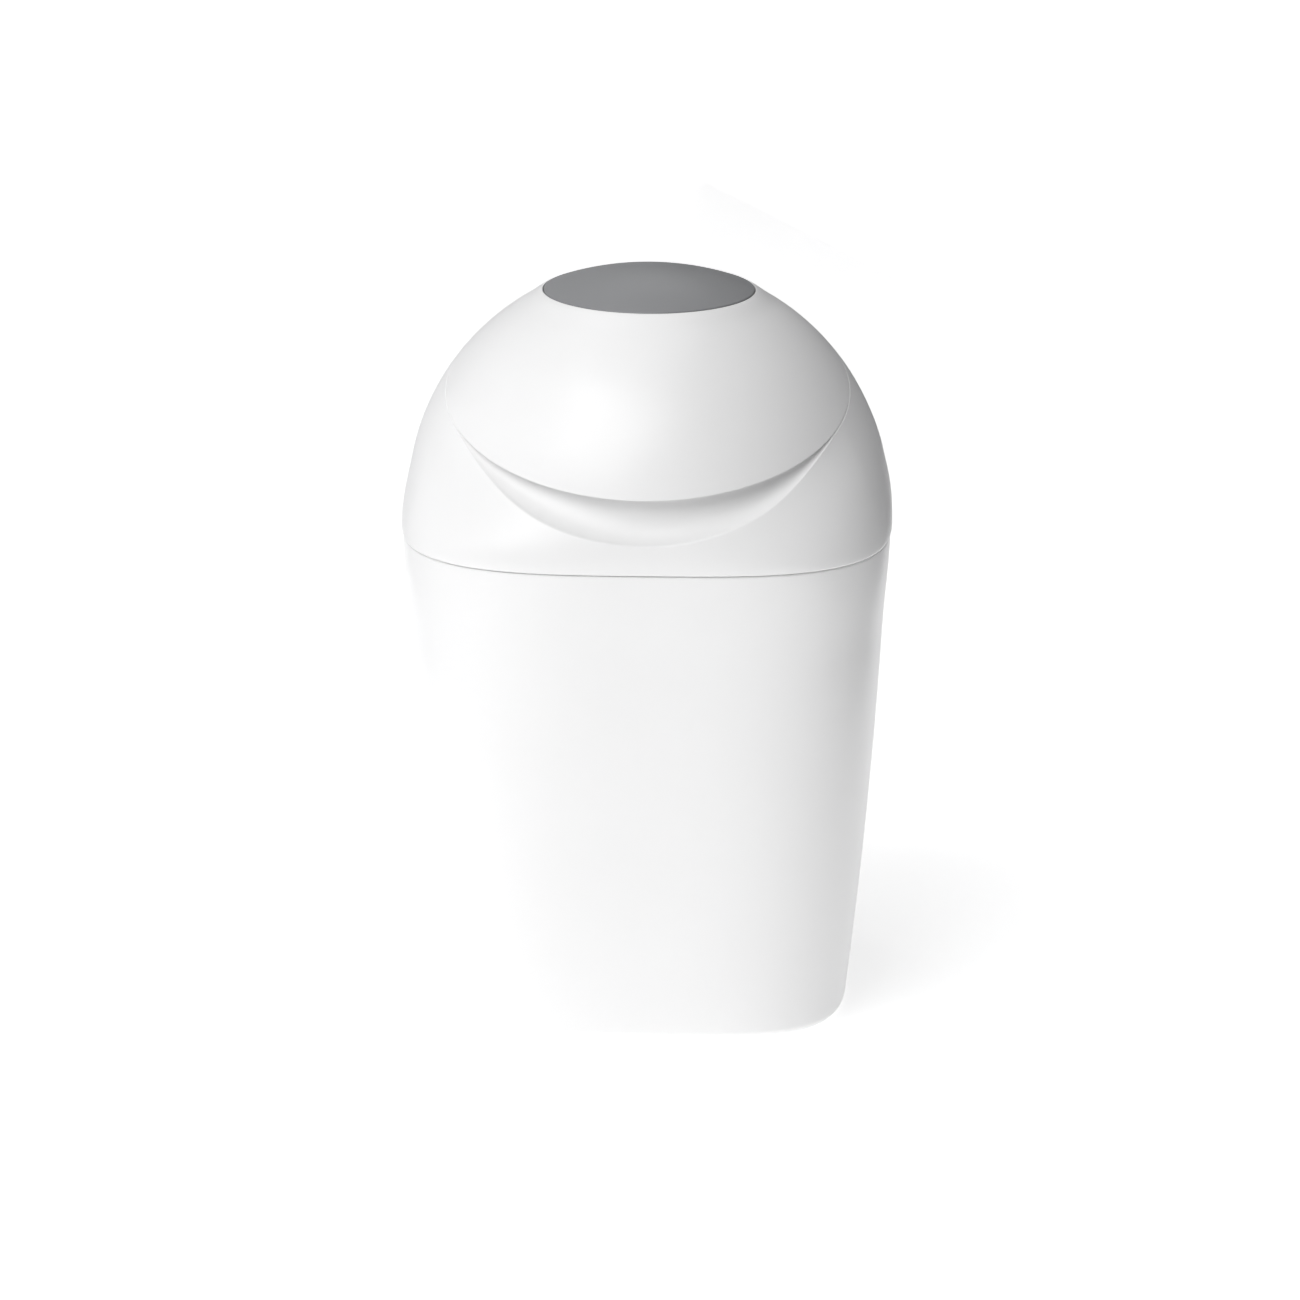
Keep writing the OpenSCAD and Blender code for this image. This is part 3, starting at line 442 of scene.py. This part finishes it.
def disc_material():
    # Moulded in an etched tool: satin, so the grey is pale towards the light and deep against it
    tone, roughness = finish().disc, finish().disc_roughness
    return moulded("Satin moulded ABS", tone, roughness, 1.53, grain_mm=0.8, relief_mm=0.006, spread=0.05)


def inner_material():
    # Moulded in an eroded tool: a fine grain that spreads the light, less white than the shells
    return moulded("Satin moulded polypropylene", finish().inner, 0.36, 1.49, grain_mm=1.0, relief_mm=0.006)


def ring_material():
    # Moulded and handled: half gloss, tinted so that the piece to turn stands out
    return moulded("Semi-gloss moulded ABS", finish().ring, 0.3, 1.53)


def cassette_material():
    # Thin wall filled fast: clear gloss, with a faint ripple where the melt cooled
    return moulded("Thin-wall moulded polystyrene", finish().cassette, 0.26, 1.59, grain_mm=2.4)


def clamp_material():
    # Soft grade that bends: waxy, with no sharp highlight
    return moulded("Flexible polypropylene", finish().clamp, 0.42, 1.49)


def cutter_material():
    # Glass-filled and slick: a matt grey with a slightly uneven skin
    return moulded("Moulded nylon", finish().cutter, 0.45, 1.53, tint=0.06, spread=0.06)


def seal_material():
    # Pressed and cured in a blasted tool: matt, so its edge stays soft
    return moulded("Moulded silicone rubber", finish().seal, 0.62, 1.41, grain_mm=0.6, relief_mm=0.01)


def film_material():
    # Blown as a tube and folded: milky, slick, and a little uneven from fold to fold
    return moulded("Blown polyethylene film", finish().film, 0.3, 1.51, tint=0.06, grain_mm=2.2, spread=0.06)


def steel_material():
    # Drawn, then plated with zinc: bright and slightly grey, with marks from the die
    return drawn_steel("Zinc-plated steel", finish().steel, 0.3)


def blade_material():
    # Ground on both bevels: brighter than the pins, with fine marks from the stone
    return drawn_steel("Ground blade steel", finish().blade, 0.2)


def dress(material, *nodes):
    """Gives CAD nodes their finish."""
    for node in nodes:
        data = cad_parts[node].data
        data.materials.clear()
        data.materials.append(material)


# Shapes


def tub_half(s, z):
    top = s.seam_height - s.seam_gap
    t = z / top
    width = s.base_half + (s.rim_half - s.base_half) * t + 4 * s.side_bow * t * (1 - t)
    return width + s.rim_flare * ease((z - s.flare_start) / s.flare_height)


def tub_r(s, t, z, inset):
    top = s.seam_height - s.seam_gap
    n = s.base_squareness + (s.squareness - s.base_squareness) * z / top
    return (tub_half(s, z) - inset) * squircle(t, n)


def tub_profile(s, t):
    """Outer foot, wall, rim, inner wall and inner floor at azimuth t."""
    top = s.seam_height - s.seam_gap
    foot_steps = 12
    wall_steps = 48
    points = []
    for k in range(foot_steps):
        a = 0.5 * math.pi * k / foot_steps
        z = s.base_round * (1 - math.cos(a))
        points.append((tub_r(s, t, z, s.base_round * (1 - math.sin(a))), z))
    rim = s.rim_round
    for k in range(wall_steps + 1):
        z = s.base_round + (top - rim - s.base_round) * k / wall_steps
        points.append((tub_r(s, t, z, 0), z))
    for k in range(1, 7):
        a = 0.5 * math.pi * k / 6
        points.append((tub_r(s, t, top, rim * (1 - math.cos(a))), top - rim * (1 - math.sin(a))))
    soft = 0.4 * MM
    for k in range(4):
        a = 0.5 * math.pi * k / 3
        inset = s.tub_wall - soft * (1 - math.sin(a))
        points.append((tub_r(s, t, top, inset), top - soft * (1 - math.cos(a))))
    inner_round = s.base_round - s.tub_wall
    for k in range(wall_steps // 2 + 1):
        z = top - 2 * soft + (s.base_round - top + 2 * soft) * k / (wall_steps // 2)
        points.append((tub_r(s, t, z, s.tub_wall), z))
    for k in range(foot_steps // 2 - 1, -1, -1):
        a = 0.5 * math.pi * k / (foot_steps // 2)
        z = s.base_round - inner_round * math.cos(a)
        points.append((tub_r(s, t, z, s.tub_wall + inner_round * (1 - math.sin(a))), z))
    return points


def head_half(s, z, inset):
    ball = math.sqrt((s.dome_radius - inset) ** 2 - (z - s.dome_height) ** 2)
    return ball + s.head_swell * (1 - ease((z - s.seam_height) / s.swell_fade))


def head_r(s, t, z, inset):
    line_z = plane_z(s, t, plane_r(s, t, s.dome_radius, s.lid_rise), s.lid_rise)
    top = min(line_z, s.seam_height + 0.062)
    n = 2 + (s.squareness - 2) * (1 - ease((z - s.seam_height) / (top - s.seam_height)))
    return head_half(s, z, inset) * squircle(t, n)


def recess_at(s, t):
    """Share of the finger recess's full size at azimuth t."""
    away = abs(t - 1.5 * math.pi)
    away = min(away, 2 * math.pi - away)
    return 1 - min(1.0, away / s.recess_angle) ** 2


def head_profile(s, t):
    """Outer wall, finger recess, seat of the lid, inner wall and floor at azimuth t."""
    share_here = recess_at(s, t)
    cut_h = s.edge_bevel + s.recess_height * share_here**s.recess_taper
    cut_d = s.edge_bevel + s.recess_depth * share_here
    line_r = plane_r(s, t, s.dome_radius, s.lid_rise)
    low_z = plane_z(s, t, line_r, s.lid_rise) - cut_h
    low_r = head_r(s, t, low_z, 0)
    top_r = line_r - cut_d
    top_z = plane_z(s, t, top_r, s.lid_rise)
    foot = 1.2 * MM
    soft = 0.3 * MM + s.recess_softness * share_here
    corners = [(head_r(s, t, s.seam_height, 0), s.seam_height, foot)]
    start = s.seam_height + 3 * MM
    stop = low_z - 1.3 * soft
    outer_steps = 30
    for k in range(outer_steps + 1):
        z = start + (stop - start) * k / outer_steps
        corners.append((head_r(s, t, z, 0), z, 0))
    corners.append((low_r, low_z, soft))
    cut_steps = 16
    first_share = 0.1
    for k in range(cut_steps + 1):
        u = first_share + (0.97 - first_share) * k / cut_steps
        inward = u + s.recess_scoop * (math.sin(0.5 * math.pi * u) - u)
        upward = u + s.recess_scoop * (1 - math.cos(0.5 * math.pi * u) - u)
        corners.append((low_r + (top_r - low_r) * inward, low_z + (top_z - low_z) * upward, 0))
    corners.append((top_r, top_z, 0.25 * MM))
    mouth_ball = math.hypot(s.mouth_radius, s.lid_rise * math.cos(s.lid_slope))
    mouth_r = plane_r(s, t, mouth_ball, s.lid_rise)
    mouth_z = plane_z(s, t, mouth_r, s.lid_rise)
    corners.append((mouth_r, mouth_z, 0.5 * MM))
    corners.append((mouth_r, mouth_z - s.head_wall, 0.4 * MM))
    land_r = top_r - s.head_wall
    land_z = plane_z(s, t, land_r, s.lid_rise) - s.head_wall
    corners.append((land_r, land_z, 0))
    under_z = min(low_z - s.head_wall, land_z - 0.6 * MM)
    corners.append((land_r, under_z, 0))
    inner_top = under_z - 1.4 * MM
    inner_low = s.seam_height + s.head_wall
    for k in range(13):
        z = inner_top + (inner_low - inner_top) * k / 12
        corners.append((head_r(s, t, z, s.head_wall), z, 0))
    corners.append((s.floor_hole, inner_low, 0.3 * MM))
    corners.append((s.floor_hole, s.seam_height, 0.3 * MM))
    return soften(corners)


def lid_profile(s, t):
    """From the middle of the disc's seat over the dome and its edge to the middle of its underside."""
    seat = s.disc_radius + s.disc_gap
    rise = s.lid_rise + s.lid_gap / math.cos(s.lid_slope)
    corners = []
    for k in range(1, 11):
        r = 0.96 * seat * k / 10
        corners.append((r, sphere_z(s, r, s.disc_depth), 0))
    corners.append((seat, sphere_z(s, seat, s.disc_depth), 0.3 * MM))
    corners.append((seat, sphere_z(s, seat) + s.lip_height, 0.45 * MM))
    lip_steps = 14
    for k in range(1, lip_steps + 1):
        r = seat + s.lip_width * (0.08 + 0.92 * k / lip_steps)
        fall = 0.5 + 0.5 * math.cos(math.pi * (r - seat) / s.lip_width)
        corners.append((r, sphere_z(s, r) + s.lip_height * fall, 0))
    edge_r = plane_r(s, t, s.dome_radius, rise)
    edge_z = plane_z(s, t, edge_r, rise)
    tilt_from = math.asin((seat + s.lip_width) / s.dome_radius)
    tilt_to = math.atan2(edge_r, edge_z - s.dome_height)
    for k in range(1, 41):
        a = tilt_from + (tilt_to - tilt_from) * k / 40.4
        corners.append((s.dome_radius * math.sin(a), s.dome_height + s.dome_radius * math.cos(a), 0))
    corners.append((edge_r, edge_z, 0.3 * MM))
    ball = s.dome_radius - s.lid_wall
    inner_r = plane_r(s, t, ball, rise)
    inner_z = plane_z(s, t, inner_r, rise)
    corners.append((inner_r, inner_z, 0.4 * MM))
    tilt_low = math.atan2(inner_r, inner_z - s.dome_height)
    tilt_high = math.asin((seat + s.lid_wall) / ball)
    for k in range(1, 21):
        a = tilt_low + (tilt_high - tilt_low) * k / 20
        corners.append((ball * math.sin(a), s.dome_height + ball * math.cos(a), 0))
    for k in range(10, 0, -1):
        r = (seat + s.lid_wall) * k / 10
        corners.append((r, sphere_z(s, r, s.disc_depth + s.lid_wall), 0))
    return soften(corners)


def lid_space(s):
    """Places a point given on the parting plane, z above it, in the row frame."""
    up = s.lid_rise * math.cos(s.lid_slope)
    turn = Matrix.Rotation(s.lid_slope, 4, "X")
    return Matrix.Translation((0, 0, s.dome_height)) @ turn @ Matrix.Translation((0, 0, up))


def spun(profile, sides, looped=True):
    """Skin of one (r, z) profile turned round the axis."""
    angles = [2 * math.pi * i / sides for i in range(sides)]
    return skin(rings_from([profile] * sides, angles), looped=looped)


class BinOperator(bpy.types.Operator):
    """Base of the operators below"""

    bl_options = {"REGISTER"}


class BIN_OT_tub(BinOperator):
    """Tub with its rim and the knuckles at its back"""

    bl_idname = "nappy_bin.tub"
    bl_label = "Tub"

    def execute(self, context):
        s = shape()
        angles = azimuths(s)
        rings = rings_from([tub_profile(s, t) for t in angles], angles)
        poles = ((0, 0, 0), (0, 0, s.tub_wall))
        parts = [solid(*skin(rings, poles=poles))]
        centre = pin_centre("head_hinge_pin")
        y, z = centre
        radius = 5 * MM
        reach = 1.5 * MM
        root = s.rim_half + s.rim_flare - 0.5 * s.tub_wall
        web_top = z - 1 * MM
        web_low = web_top - 13 * MM
        meet_low = -math.acos(reach / radius)
        meet_top = math.pi - math.asin((web_top - z) / radius)
        outline = along((root, web_low), (y + reach, web_low), 4)
        outline += along((y + reach, web_low), (y + reach, z + radius * math.sin(meet_low)), 4)
        outline += arc(centre, radius, meet_low, meet_top)
        outline += [(root, web_top)]
        outline += along((root, web_top), (root, web_low), 4)[1:]
        for low, high in knuckles("head_hinge_pin", 5, 0):
            parts.append(hinge_lug(centre, radius, 1.55 * MM, outline, low, high, 0.35 * MM))
        obj = mesh_object("tub_shell", *together(parts))
        put_on(obj, "base", "white_shell", shell_material(), "tub")
        return {"FINISHED"}


class BIN_OT_head_shell(BinOperator):
    """Head with its finger recess, the lid's seat and two rows of knuckles"""

    bl_idname = "nappy_bin.head_shell"
    bl_label = "Head"

    def execute(self, context):
        s = shape()
        angles = azimuths(s)
        rings = rings_from([head_profile(s, t) for t in angles], angles)
        parts = [solid(*skin(rings, looped=True))]
        centre = pin_centre("head_hinge_pin")
        y, z = centre
        radius = 5 * MM
        root = s.rim_half + s.rim_flare - 1 * MM
        web_low = z + 0.35 * MM
        web_top = z + 10 * MM
        reach = 1.5 * MM
        meet_low = math.pi - math.asin((web_low - z) / radius)
        meet_top = math.acos(reach / radius)
        outline = arc(centre, radius, meet_low, meet_top)
        outline += along((y + reach, z + radius * math.sin(meet_top)), (y + reach, web_top), 4)[1:]
        outline += along((y + reach, web_top), (root, web_top), 4)
        outline += along((root, web_top), (root, web_low), 4)
        outline += [(root, web_low)]
        for low, high in knuckles("head_hinge_pin", 5, 1):
            parts.append(hinge_lug(centre, radius, 1.55 * MM, outline, low, high, 0.35 * MM))
        parts += lid_lugs(s, 1)
        obj = mesh_object("head_shell_fine", *together(parts))
        put_on(obj, "head", "white_shell", shell_material(), "head_shell")
        return {"FINISHED"}


def lid_lugs(s, first):
    """Knuckles of the lid's hinge with their webs: of the lid from 0 on, of the head from 1 on."""
    centre_y, centre_z = pin_centre("lid_hinge_pin")
    local = lid_space(s).inverted() @ Vector((0, centre_y, centre_z))
    centre = (local.y, local.z)
    radius = 4 * MM
    edge = math.sqrt(s.dome_radius**2 - (s.lid_rise * math.cos(s.lid_slope)) ** 2)
    root = edge - 6 * MM
    if first == 0:
        low, high = s.lid_gap, 5.5 * MM
        meet_low = math.pi + math.asin((centre[1] - low) / radius)
        meet_high = math.pi - math.asin((high - centre[1]) / radius)
        outline = along((root, low), (centre[0] + radius * math.cos(meet_low), low), 5)
        outline += arc(centre, radius, meet_low, meet_high)
        outline += along(outline[-1], (root, high), 5)[1:]
        outline += along((root, high), (root, low), 4)
    else:
        low, high = -8 * MM, -0.1 * MM
        reach = edge + 5 * MM
        meet_low = -math.acos((reach - centre[0]) / radius)
        meet_high = math.pi + math.asin((centre[1] - high) / radius)
        outline = along((root, low), (reach, low), 5)
        outline += along((reach, low), (reach, centre[1] + radius * math.sin(meet_low)), 4)
        outline += arc(centre, radius, meet_low, meet_high)
        outline += along(outline[-1], (root, high), 5)[1:]
        outline += along((root, high), (root, low), 4)
    placed = lid_space(s)
    lugs = []
    for x_low, x_high in knuckles("lid_hinge_pin", 5, first):
        points, faces = hinge_lug(centre, radius, 1.55 * MM, outline, x_low, x_high, 0.3 * MM)
        lugs.append(([tuple(placed @ Vector(p)) for p in points], faces))
    return lugs


class BIN_OT_dome_lid(BinOperator):
    """Dome lid with the disc's seat, the lip round it and its knuckles"""

    bl_idname = "nappy_bin.dome_lid"
    bl_label = "Dome lid"

    def execute(self, context):
        s = shape()
        angles = azimuths(s)
        rings = rings_from([lid_profile(s, t) for t in angles], angles)
        depth = s.disc_depth
        poles = ((0, 0, sphere_z(s, 0, depth)), (0, 0, sphere_z(s, 0, depth + s.lid_wall)))
        parts = [solid(*skin(rings, poles=poles))] + lid_lugs(s, 0)
        obj = mesh_object("dome_lid_fine", *together(parts))
        put_on(obj, "lid", "white_shell", shell_material(), "dome_lid")
        return {"FINISHED"}


class BIN_OT_top_disc(BinOperator):
    """Bare grey disc on top of the lid"""

    bl_idname = "nappy_bin.top_disc"
    bl_label = "Top disc"

    def execute(self, context):
        s = shape()
        crown = s.dome_height + s.dome_radius - s.disc_drop
        rim = sphere_z(s, s.disc_radius) + s.lip_height - s.disc_rim_drop
        sag = crown - rim
        face = (s.disc_radius**2 + sag**2) / (2 * sag)
        clear = 0.05 * MM
        corners = []
        for k in range(1, 25):
            r = 0.985 * s.disc_radius * k / 24
            corners.append((r, crown - face + math.sqrt(face**2 - r * r), 0))
        corners.append((s.disc_radius, rim, s.disc_round))
        corners.append((s.disc_radius, sphere_z(s, s.disc_radius, s.disc_depth) + clear, 0.3 * MM))
        for k in range(12, 0, -1):
            r = 0.96 * s.disc_radius * k / 12
            corners.append((r, sphere_z(s, r, s.disc_depth) + clear, 0))
        rings = rings_from([soften(corners)] * s.sides, azimuths(s))
        poles = ((0, 0, crown), (0, 0, sphere_z(s, 0, s.disc_depth) + clear))
        obj = mesh_object("top_disc_fine", *solid(*skin(rings, poles=poles)))
        put_on(obj, "lid", "grey_disc", disc_material(), "top_disc")
        return {"FINISHED"}


class BIN_OT_lid_underside(BinOperator):
    """Liner, seal and screws under the lid, and both hinge pins"""

    bl_idname = "nappy_bin.lid_underside"
    bl_label = "Lid underside and pins"

    def execute(self, context):
        s = shape()
        dress(inner_material(), "lid_liner")
        dress(steel_material(), "liner_screws", "lid_hinge_pin", "head_hinge_pin")
        inner = s.mouth_radius + 0.8 * MM
        width = 2.6 * MM
        low = 0.2 * MM
        high = low + 3.2 * MM
        corners = [
            (inner, high, 0.3 * MM),
            (inner + 0.5 * MM, high - 1.2 * MM, 0.5 * MM),
            (inner, low + 1 * MM, 0.6 * MM),
            (inner + 0.5 * width, low, 0.9 * MM),
            (inner + width, low + 1 * MM, 0.6 * MM),
            (inner + width - 0.5 * MM, high - 1.2 * MM, 0.5 * MM),
            (inner + width, high, 0.3 * MM),
        ]
        points, faces = solid(*spun(soften(corners), 192))
        placed = lid_space(s)
        obj = mesh_object("seal_ring", [tuple(placed @ Vector(p)) for p in points], faces)
        put_on(obj, "lid", "seal_rubber", seal_material(), "lid_seal")
        return {"FINISHED"}


class BIN_OT_cassette(BinOperator):
    """Finishes of the well, the twist ring, its spring and the film cassette"""

    bl_idname = "nappy_bin.cassette"
    bl_label = "Cassette"

    def execute(self, context):
        dress(inner_material(), "cassette_well")
        dress(steel_material(), "well_screws", "click_spring")
        dress(ring_material(), "twist_ring")
        dress(cassette_material(), "cassette_tub", "cassette_cap")
        return {"FINISHED"}


class BIN_OT_film(BinOperator):
    """Pleated film pack, and the sleeve that is drawn from it down to its knot"""

    bl_idname = "nappy_bin.film"
    bl_label = "Film"

    def pack(self):
        low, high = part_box("film_pack")
        outer = high.x
        inner = 58.9 * MM
        folds = 17
        steps = 6
        sides = 240
        angles = [2 * math.pi * i / sides for i in range(sides)]
        profiles = []
        for t in angles:
            wander = 0.25 * math.sin(3 * t + 1) + 0.2 * math.sin(7 * t)
            outside, inside = [], []
            for k in range(folds * steps + 1):
                u = k / (folds * steps)
                z = low.z + (high.z - low.z) * u
                wave = 0.5 - 0.5 * math.cos(2 * math.pi * (k / steps) + 0.4 * wander)
                depth = 1.3 * MM * wave
                outside.append((outer - 0.05 * MM - depth, z))
                inside.append((inner + depth, z))
            profiles.append(outside + inside[::-1])
        obj = mesh_object("film_pleats", *solid(*skin(rings_from(profiles, angles), looped=True)), 60)
        put_on(obj, "cassette", "film", film_material(), "film_pack")

    def sleeve(self):
        low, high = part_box("film_sleeve")
        pleats = 40
        sides = 480
        angles = [2 * math.pi * i / sides for i in range(sides)]
        knot_r = 12 * MM
        knot_z = low.z + knot_r
        neck_z = knot_z + knot_r
        neck_r = 1.2 * MM
        gather_z = 236 * MM
        throat = 55.2 * MM
        outer = high.x - 0.3 * MM
        top = high.z - 0.3 * MM
        hang = 270.8 * MM
        path = [(outer, hang + (top - 1.2 * MM - hang) * k / 6, 0.0) for k in range(7)]
        for k in range(1, 8):
            a = math.pi * k / 8
            half = 0.5 * (outer - throat)
            path.append((throat + half + half * math.cos(a), top - 1.2 * MM * (1 - math.sin(a)), 0.0))
        for k in range(10):
            path.append((throat, top - 1.2 * MM + (gather_z - top + 1.2 * MM) * k / 10, 0.0))
        for k in range(25):
            u = k / 24
            r = throat + (neck_r - throat) * ease(u) ** 0.8
            z = gather_z + (neck_z - gather_z) * (1 - (1 - u) ** 1.6)
            path.append((r, z, math.sin(math.pi * u) ** 0.7 if 0 < u < 1 else 0.0))
        for k in range(1, 26):
            a = math.pi * k / 25
            r = max(knot_r * math.sin(a) * 0.97, 0.3 * MM)
            path.append((r, knot_z + knot_r * math.cos(a) * 0.97, 0.25 * math.sin(a)))
        half_film = 0.22 * MM
        line = [Vector((r, z)) for r, z, _ in path]
        normals = []
        for k in range(len(line)):
            d = line[min(k + 1, len(line) - 1)] - line[max(k - 1, 0)]
            normals.append(Vector((-d.y, d.x)).normalized())
        profiles = []
        for t in angles:
            wave = math.sin(pleats * t) + 0.35 * math.sin((pleats // 2 + 1) * t + 0.7)
            out, back = [], []
            for (r, z, gather), normal in zip(path, normals):
                lift = gather * min(0.9 * MM, 0.06 * r) * wave
                point = Vector((r, z)) + normal * lift
                out.append(tuple(point + normal * half_film))
                back.append(tuple(point - normal * half_film))
            profiles.append(out + back[::-1])
        points, faces = solid(*skin(rings_from(profiles, angles), looped=True))
        obj = mesh_object("film_gather", points, faces, 75)
        put_on(obj, "cassette", "film", film_material(), "film_sleeve")

    def execute(self, context):
        self.pack()
        self.sleeve()
        return {"FINISHED"}


class BIN_OT_clamp_and_cutter(BinOperator):
    """Finishes of the clamp, the cutter, the clip and their screws"""

    bl_idname = "nappy_bin.clamp_and_cutter"
    bl_label = "Clamp and cutter"

    def execute(self, context):
        dress(inner_material(), "clamp_retainer", "cutter_guide", "snap_clip")
        dress(steel_material(), "retainer_screws", "guide_screws", "clip_screws")
        dress(clamp_material(), "finger_clamp")
        dress(cutter_material(), "cutter_carriage")
        dress(blade_material(), "cutter_blade")
        return {"FINISHED"}


class BIN_OT_stage(BinOperator):
    """Pale floor, soft lights, a dark card at the right and the camera"""

    bl_idname = "nappy_bin.stage"
    bl_label = "Stage"

    def lamp(self, name, place, aim, size, power):
        data = bpy.data.lights.new(name, "AREA")
        data.shape = "RECTANGLE"
        data.size, data.size_y = size
        data.energy = power
        lamp = bpy.data.objects.new(name, data)
        bpy.context.scene.collection.objects.link(lamp)
        lamp.location = place
        lamp.rotation_euler = (Vector(aim) - Vector(place)).to_track_quat("-Z", "Y").to_euler()
        return lamp

    def sheet(self, name, corners, faces, material):
        mesh = bpy.data.meshes.new(name)
        mesh.from_pydata(corners, [], faces)
        mesh.materials.append(material)
        obj = bpy.data.objects.new(name, mesh)
        bpy.context.scene.collection.objects.link(obj)
        return obj

    def execute(self, context):
        studio = context.scene.bin_studio
        scene = context.scene
        scene.view_settings.view_transform = "Standard"
        world = bpy.data.worlds.new("Studio surroundings")
        world.use_nodes = True
        world.node_tree.nodes["Background"].inputs["Strength"].default_value = studio.world
        world.node_tree.nodes["Background"].inputs["Color"].default_value = (1, 1, 1, 1)
        scene.world = world
        half = 30.0
        low = -0.2 * MM
        # Sheet lit from below: white all over, so hardly a shadow is left on it
        acrylic = moulded("Backlit white acrylic", "#FAFAFA", 0.9, 1.45, tint=0.004, grain_mm=3)
        shader = acrylic.node_tree.nodes["Principled BSDF"]
        shader.inputs["Emission Color"].default_value = (1, 1, 1, 1)
        shader.inputs["Emission Strength"].default_value = studio.glow
        floor = [(-half, -half, low), (half, -half, low), (half, half, low), (-half, half, low)]
        self.sheet("floor", floor, [(0, 1, 2, 3)], acrylic)
        wide = 3.0
        deep = 2.9
        wall = [(-wide, deep, low), (wide, deep, low), (wide, deep, wide), (-wide, deep, wide)]
        self.sheet("backdrop", wall, [(0, 1, 2, 3)], acrylic).visible_camera = False
        # Felt takes the light: the bin darkens towards its edges, more at the right
        dark = moulded("Grey felt", "#7C7C7D", 0.9, 1.4, grain_mm=1.2)
        pale = moulded("Pale felt", "#E8E8E9", 0.9, 1.4, grain_mm=1.2)
        bends = [(0.7, -0.6), (0.56, 0.12), (0.46, 0.75), (0.22, 1.5), (-0.1, 2.2)]
        tall = 1.3
        count = len(bends)
        faces = [(k, k + 1, count + k + 1, count + k) for k in range(count - 1)]
        for name, side, felt in (("card", 1, dark), ("left_card", -1, pale)):
            corners = [(side * x, y, z) for z in (0, tall) for x, y in bends]
            card = self.sheet(name, corners, faces, felt)
            card.visible_camera = False
            card.visible_shadow = False
        for name, place, size in (
            ("key", (-1.4, -1.8, 2.4), (3.0, 2.4)),
            ("back", (-1.8, 2.4, 1.3), (2.6, 2.2)),
            ("front_top", (-0.5, -1.6, 2.4), (2.4, 1.6)),
            ("top", (-0.4, 0.1, 2.5), (2.4, 2.0)),
        ):
            self.lamp(name, place, (0, 0, studio.aim_height), size, getattr(studio, name))
        data = bpy.data.cameras.new("camera")
        data.lens = studio.lens
        data.sensor_width = 36
        data.shift_x = studio.shift_x
        data.shift_y = studio.shift_y
        data.clip_end = 100
        camera = bpy.data.objects.new("camera", data)
        scene.collection.objects.link(camera)
        flat = math.cos(studio.elevation)
        back = Vector(
            (
                math.sin(studio.azimuth) * flat,
                -math.cos(studio.azimuth) * flat,
                math.sin(studio.elevation),
            )
        )
        camera.location = Vector((0, 0, studio.aim_height)) + back * studio.distance
        aimed = (-back).to_track_quat("-Z", "Y").to_matrix()
        camera.rotation_euler = (aimed @ Matrix.Rotation(studio.roll, 3, "Z")).to_euler()
        scene.camera = camera
        return {"FINISHED"}


class BIN_PT_panel(bpy.types.Panel):
    """Lists the pieces and their sizes"""

    bl_label = "Nappy bin"
    bl_idname = "BIN_PT_panel"
    bl_space_type = "VIEW_3D"
    bl_region_type = "UI"
    bl_category = "Nappy bin"

    def draw(self, context):
        for group in (context.scene.bin_shape, context.scene.bin_finish, context.scene.bin_studio):
            box = self.layout.box()
            for name in group.__annotations__:
                box.prop(group, name)
        for operator in OPERATORS:
            self.layout.operator(operator.bl_idname)


OPERATORS = (
    BIN_OT_tub,
    BIN_OT_head_shell,
    BIN_OT_dome_lid,
    BIN_OT_top_disc,
    BIN_OT_lid_underside,
    BIN_OT_cassette,
    BIN_OT_film,
    BIN_OT_clamp_and_cutter,
    BIN_OT_stage,
)
CLASSES = (BinShape, BinFinish, BinStudio, *OPERATORS, BIN_PT_panel)


def register():
    for one in CLASSES:
        bpy.utils.register_class(one)
    bpy.types.Scene.bin_shape = PointerProperty(type=BinShape)
    bpy.types.Scene.bin_finish = PointerProperty(type=BinFinish)
    bpy.types.Scene.bin_studio = PointerProperty(type=BinStudio)


def unregister():
    del bpy.types.Scene.bin_studio
    del bpy.types.Scene.bin_finish
    del bpy.types.Scene.bin_shape
    for one in reversed(CLASSES):
        bpy.utils.unregister_class(one)


def main():
    register()
    bpy.ops.nappy_bin.tub()
    bpy.ops.nappy_bin.head_shell()
    bpy.ops.nappy_bin.dome_lid()
    bpy.ops.nappy_bin.top_disc()
    bpy.ops.nappy_bin.lid_underside()
    bpy.ops.nappy_bin.cassette()
    bpy.ops.nappy_bin.film()
    bpy.ops.nappy_bin.clamp_and_cutter()
    bpy.ops.nappy_bin.stage()


if __name__ == "__main__":
    main()
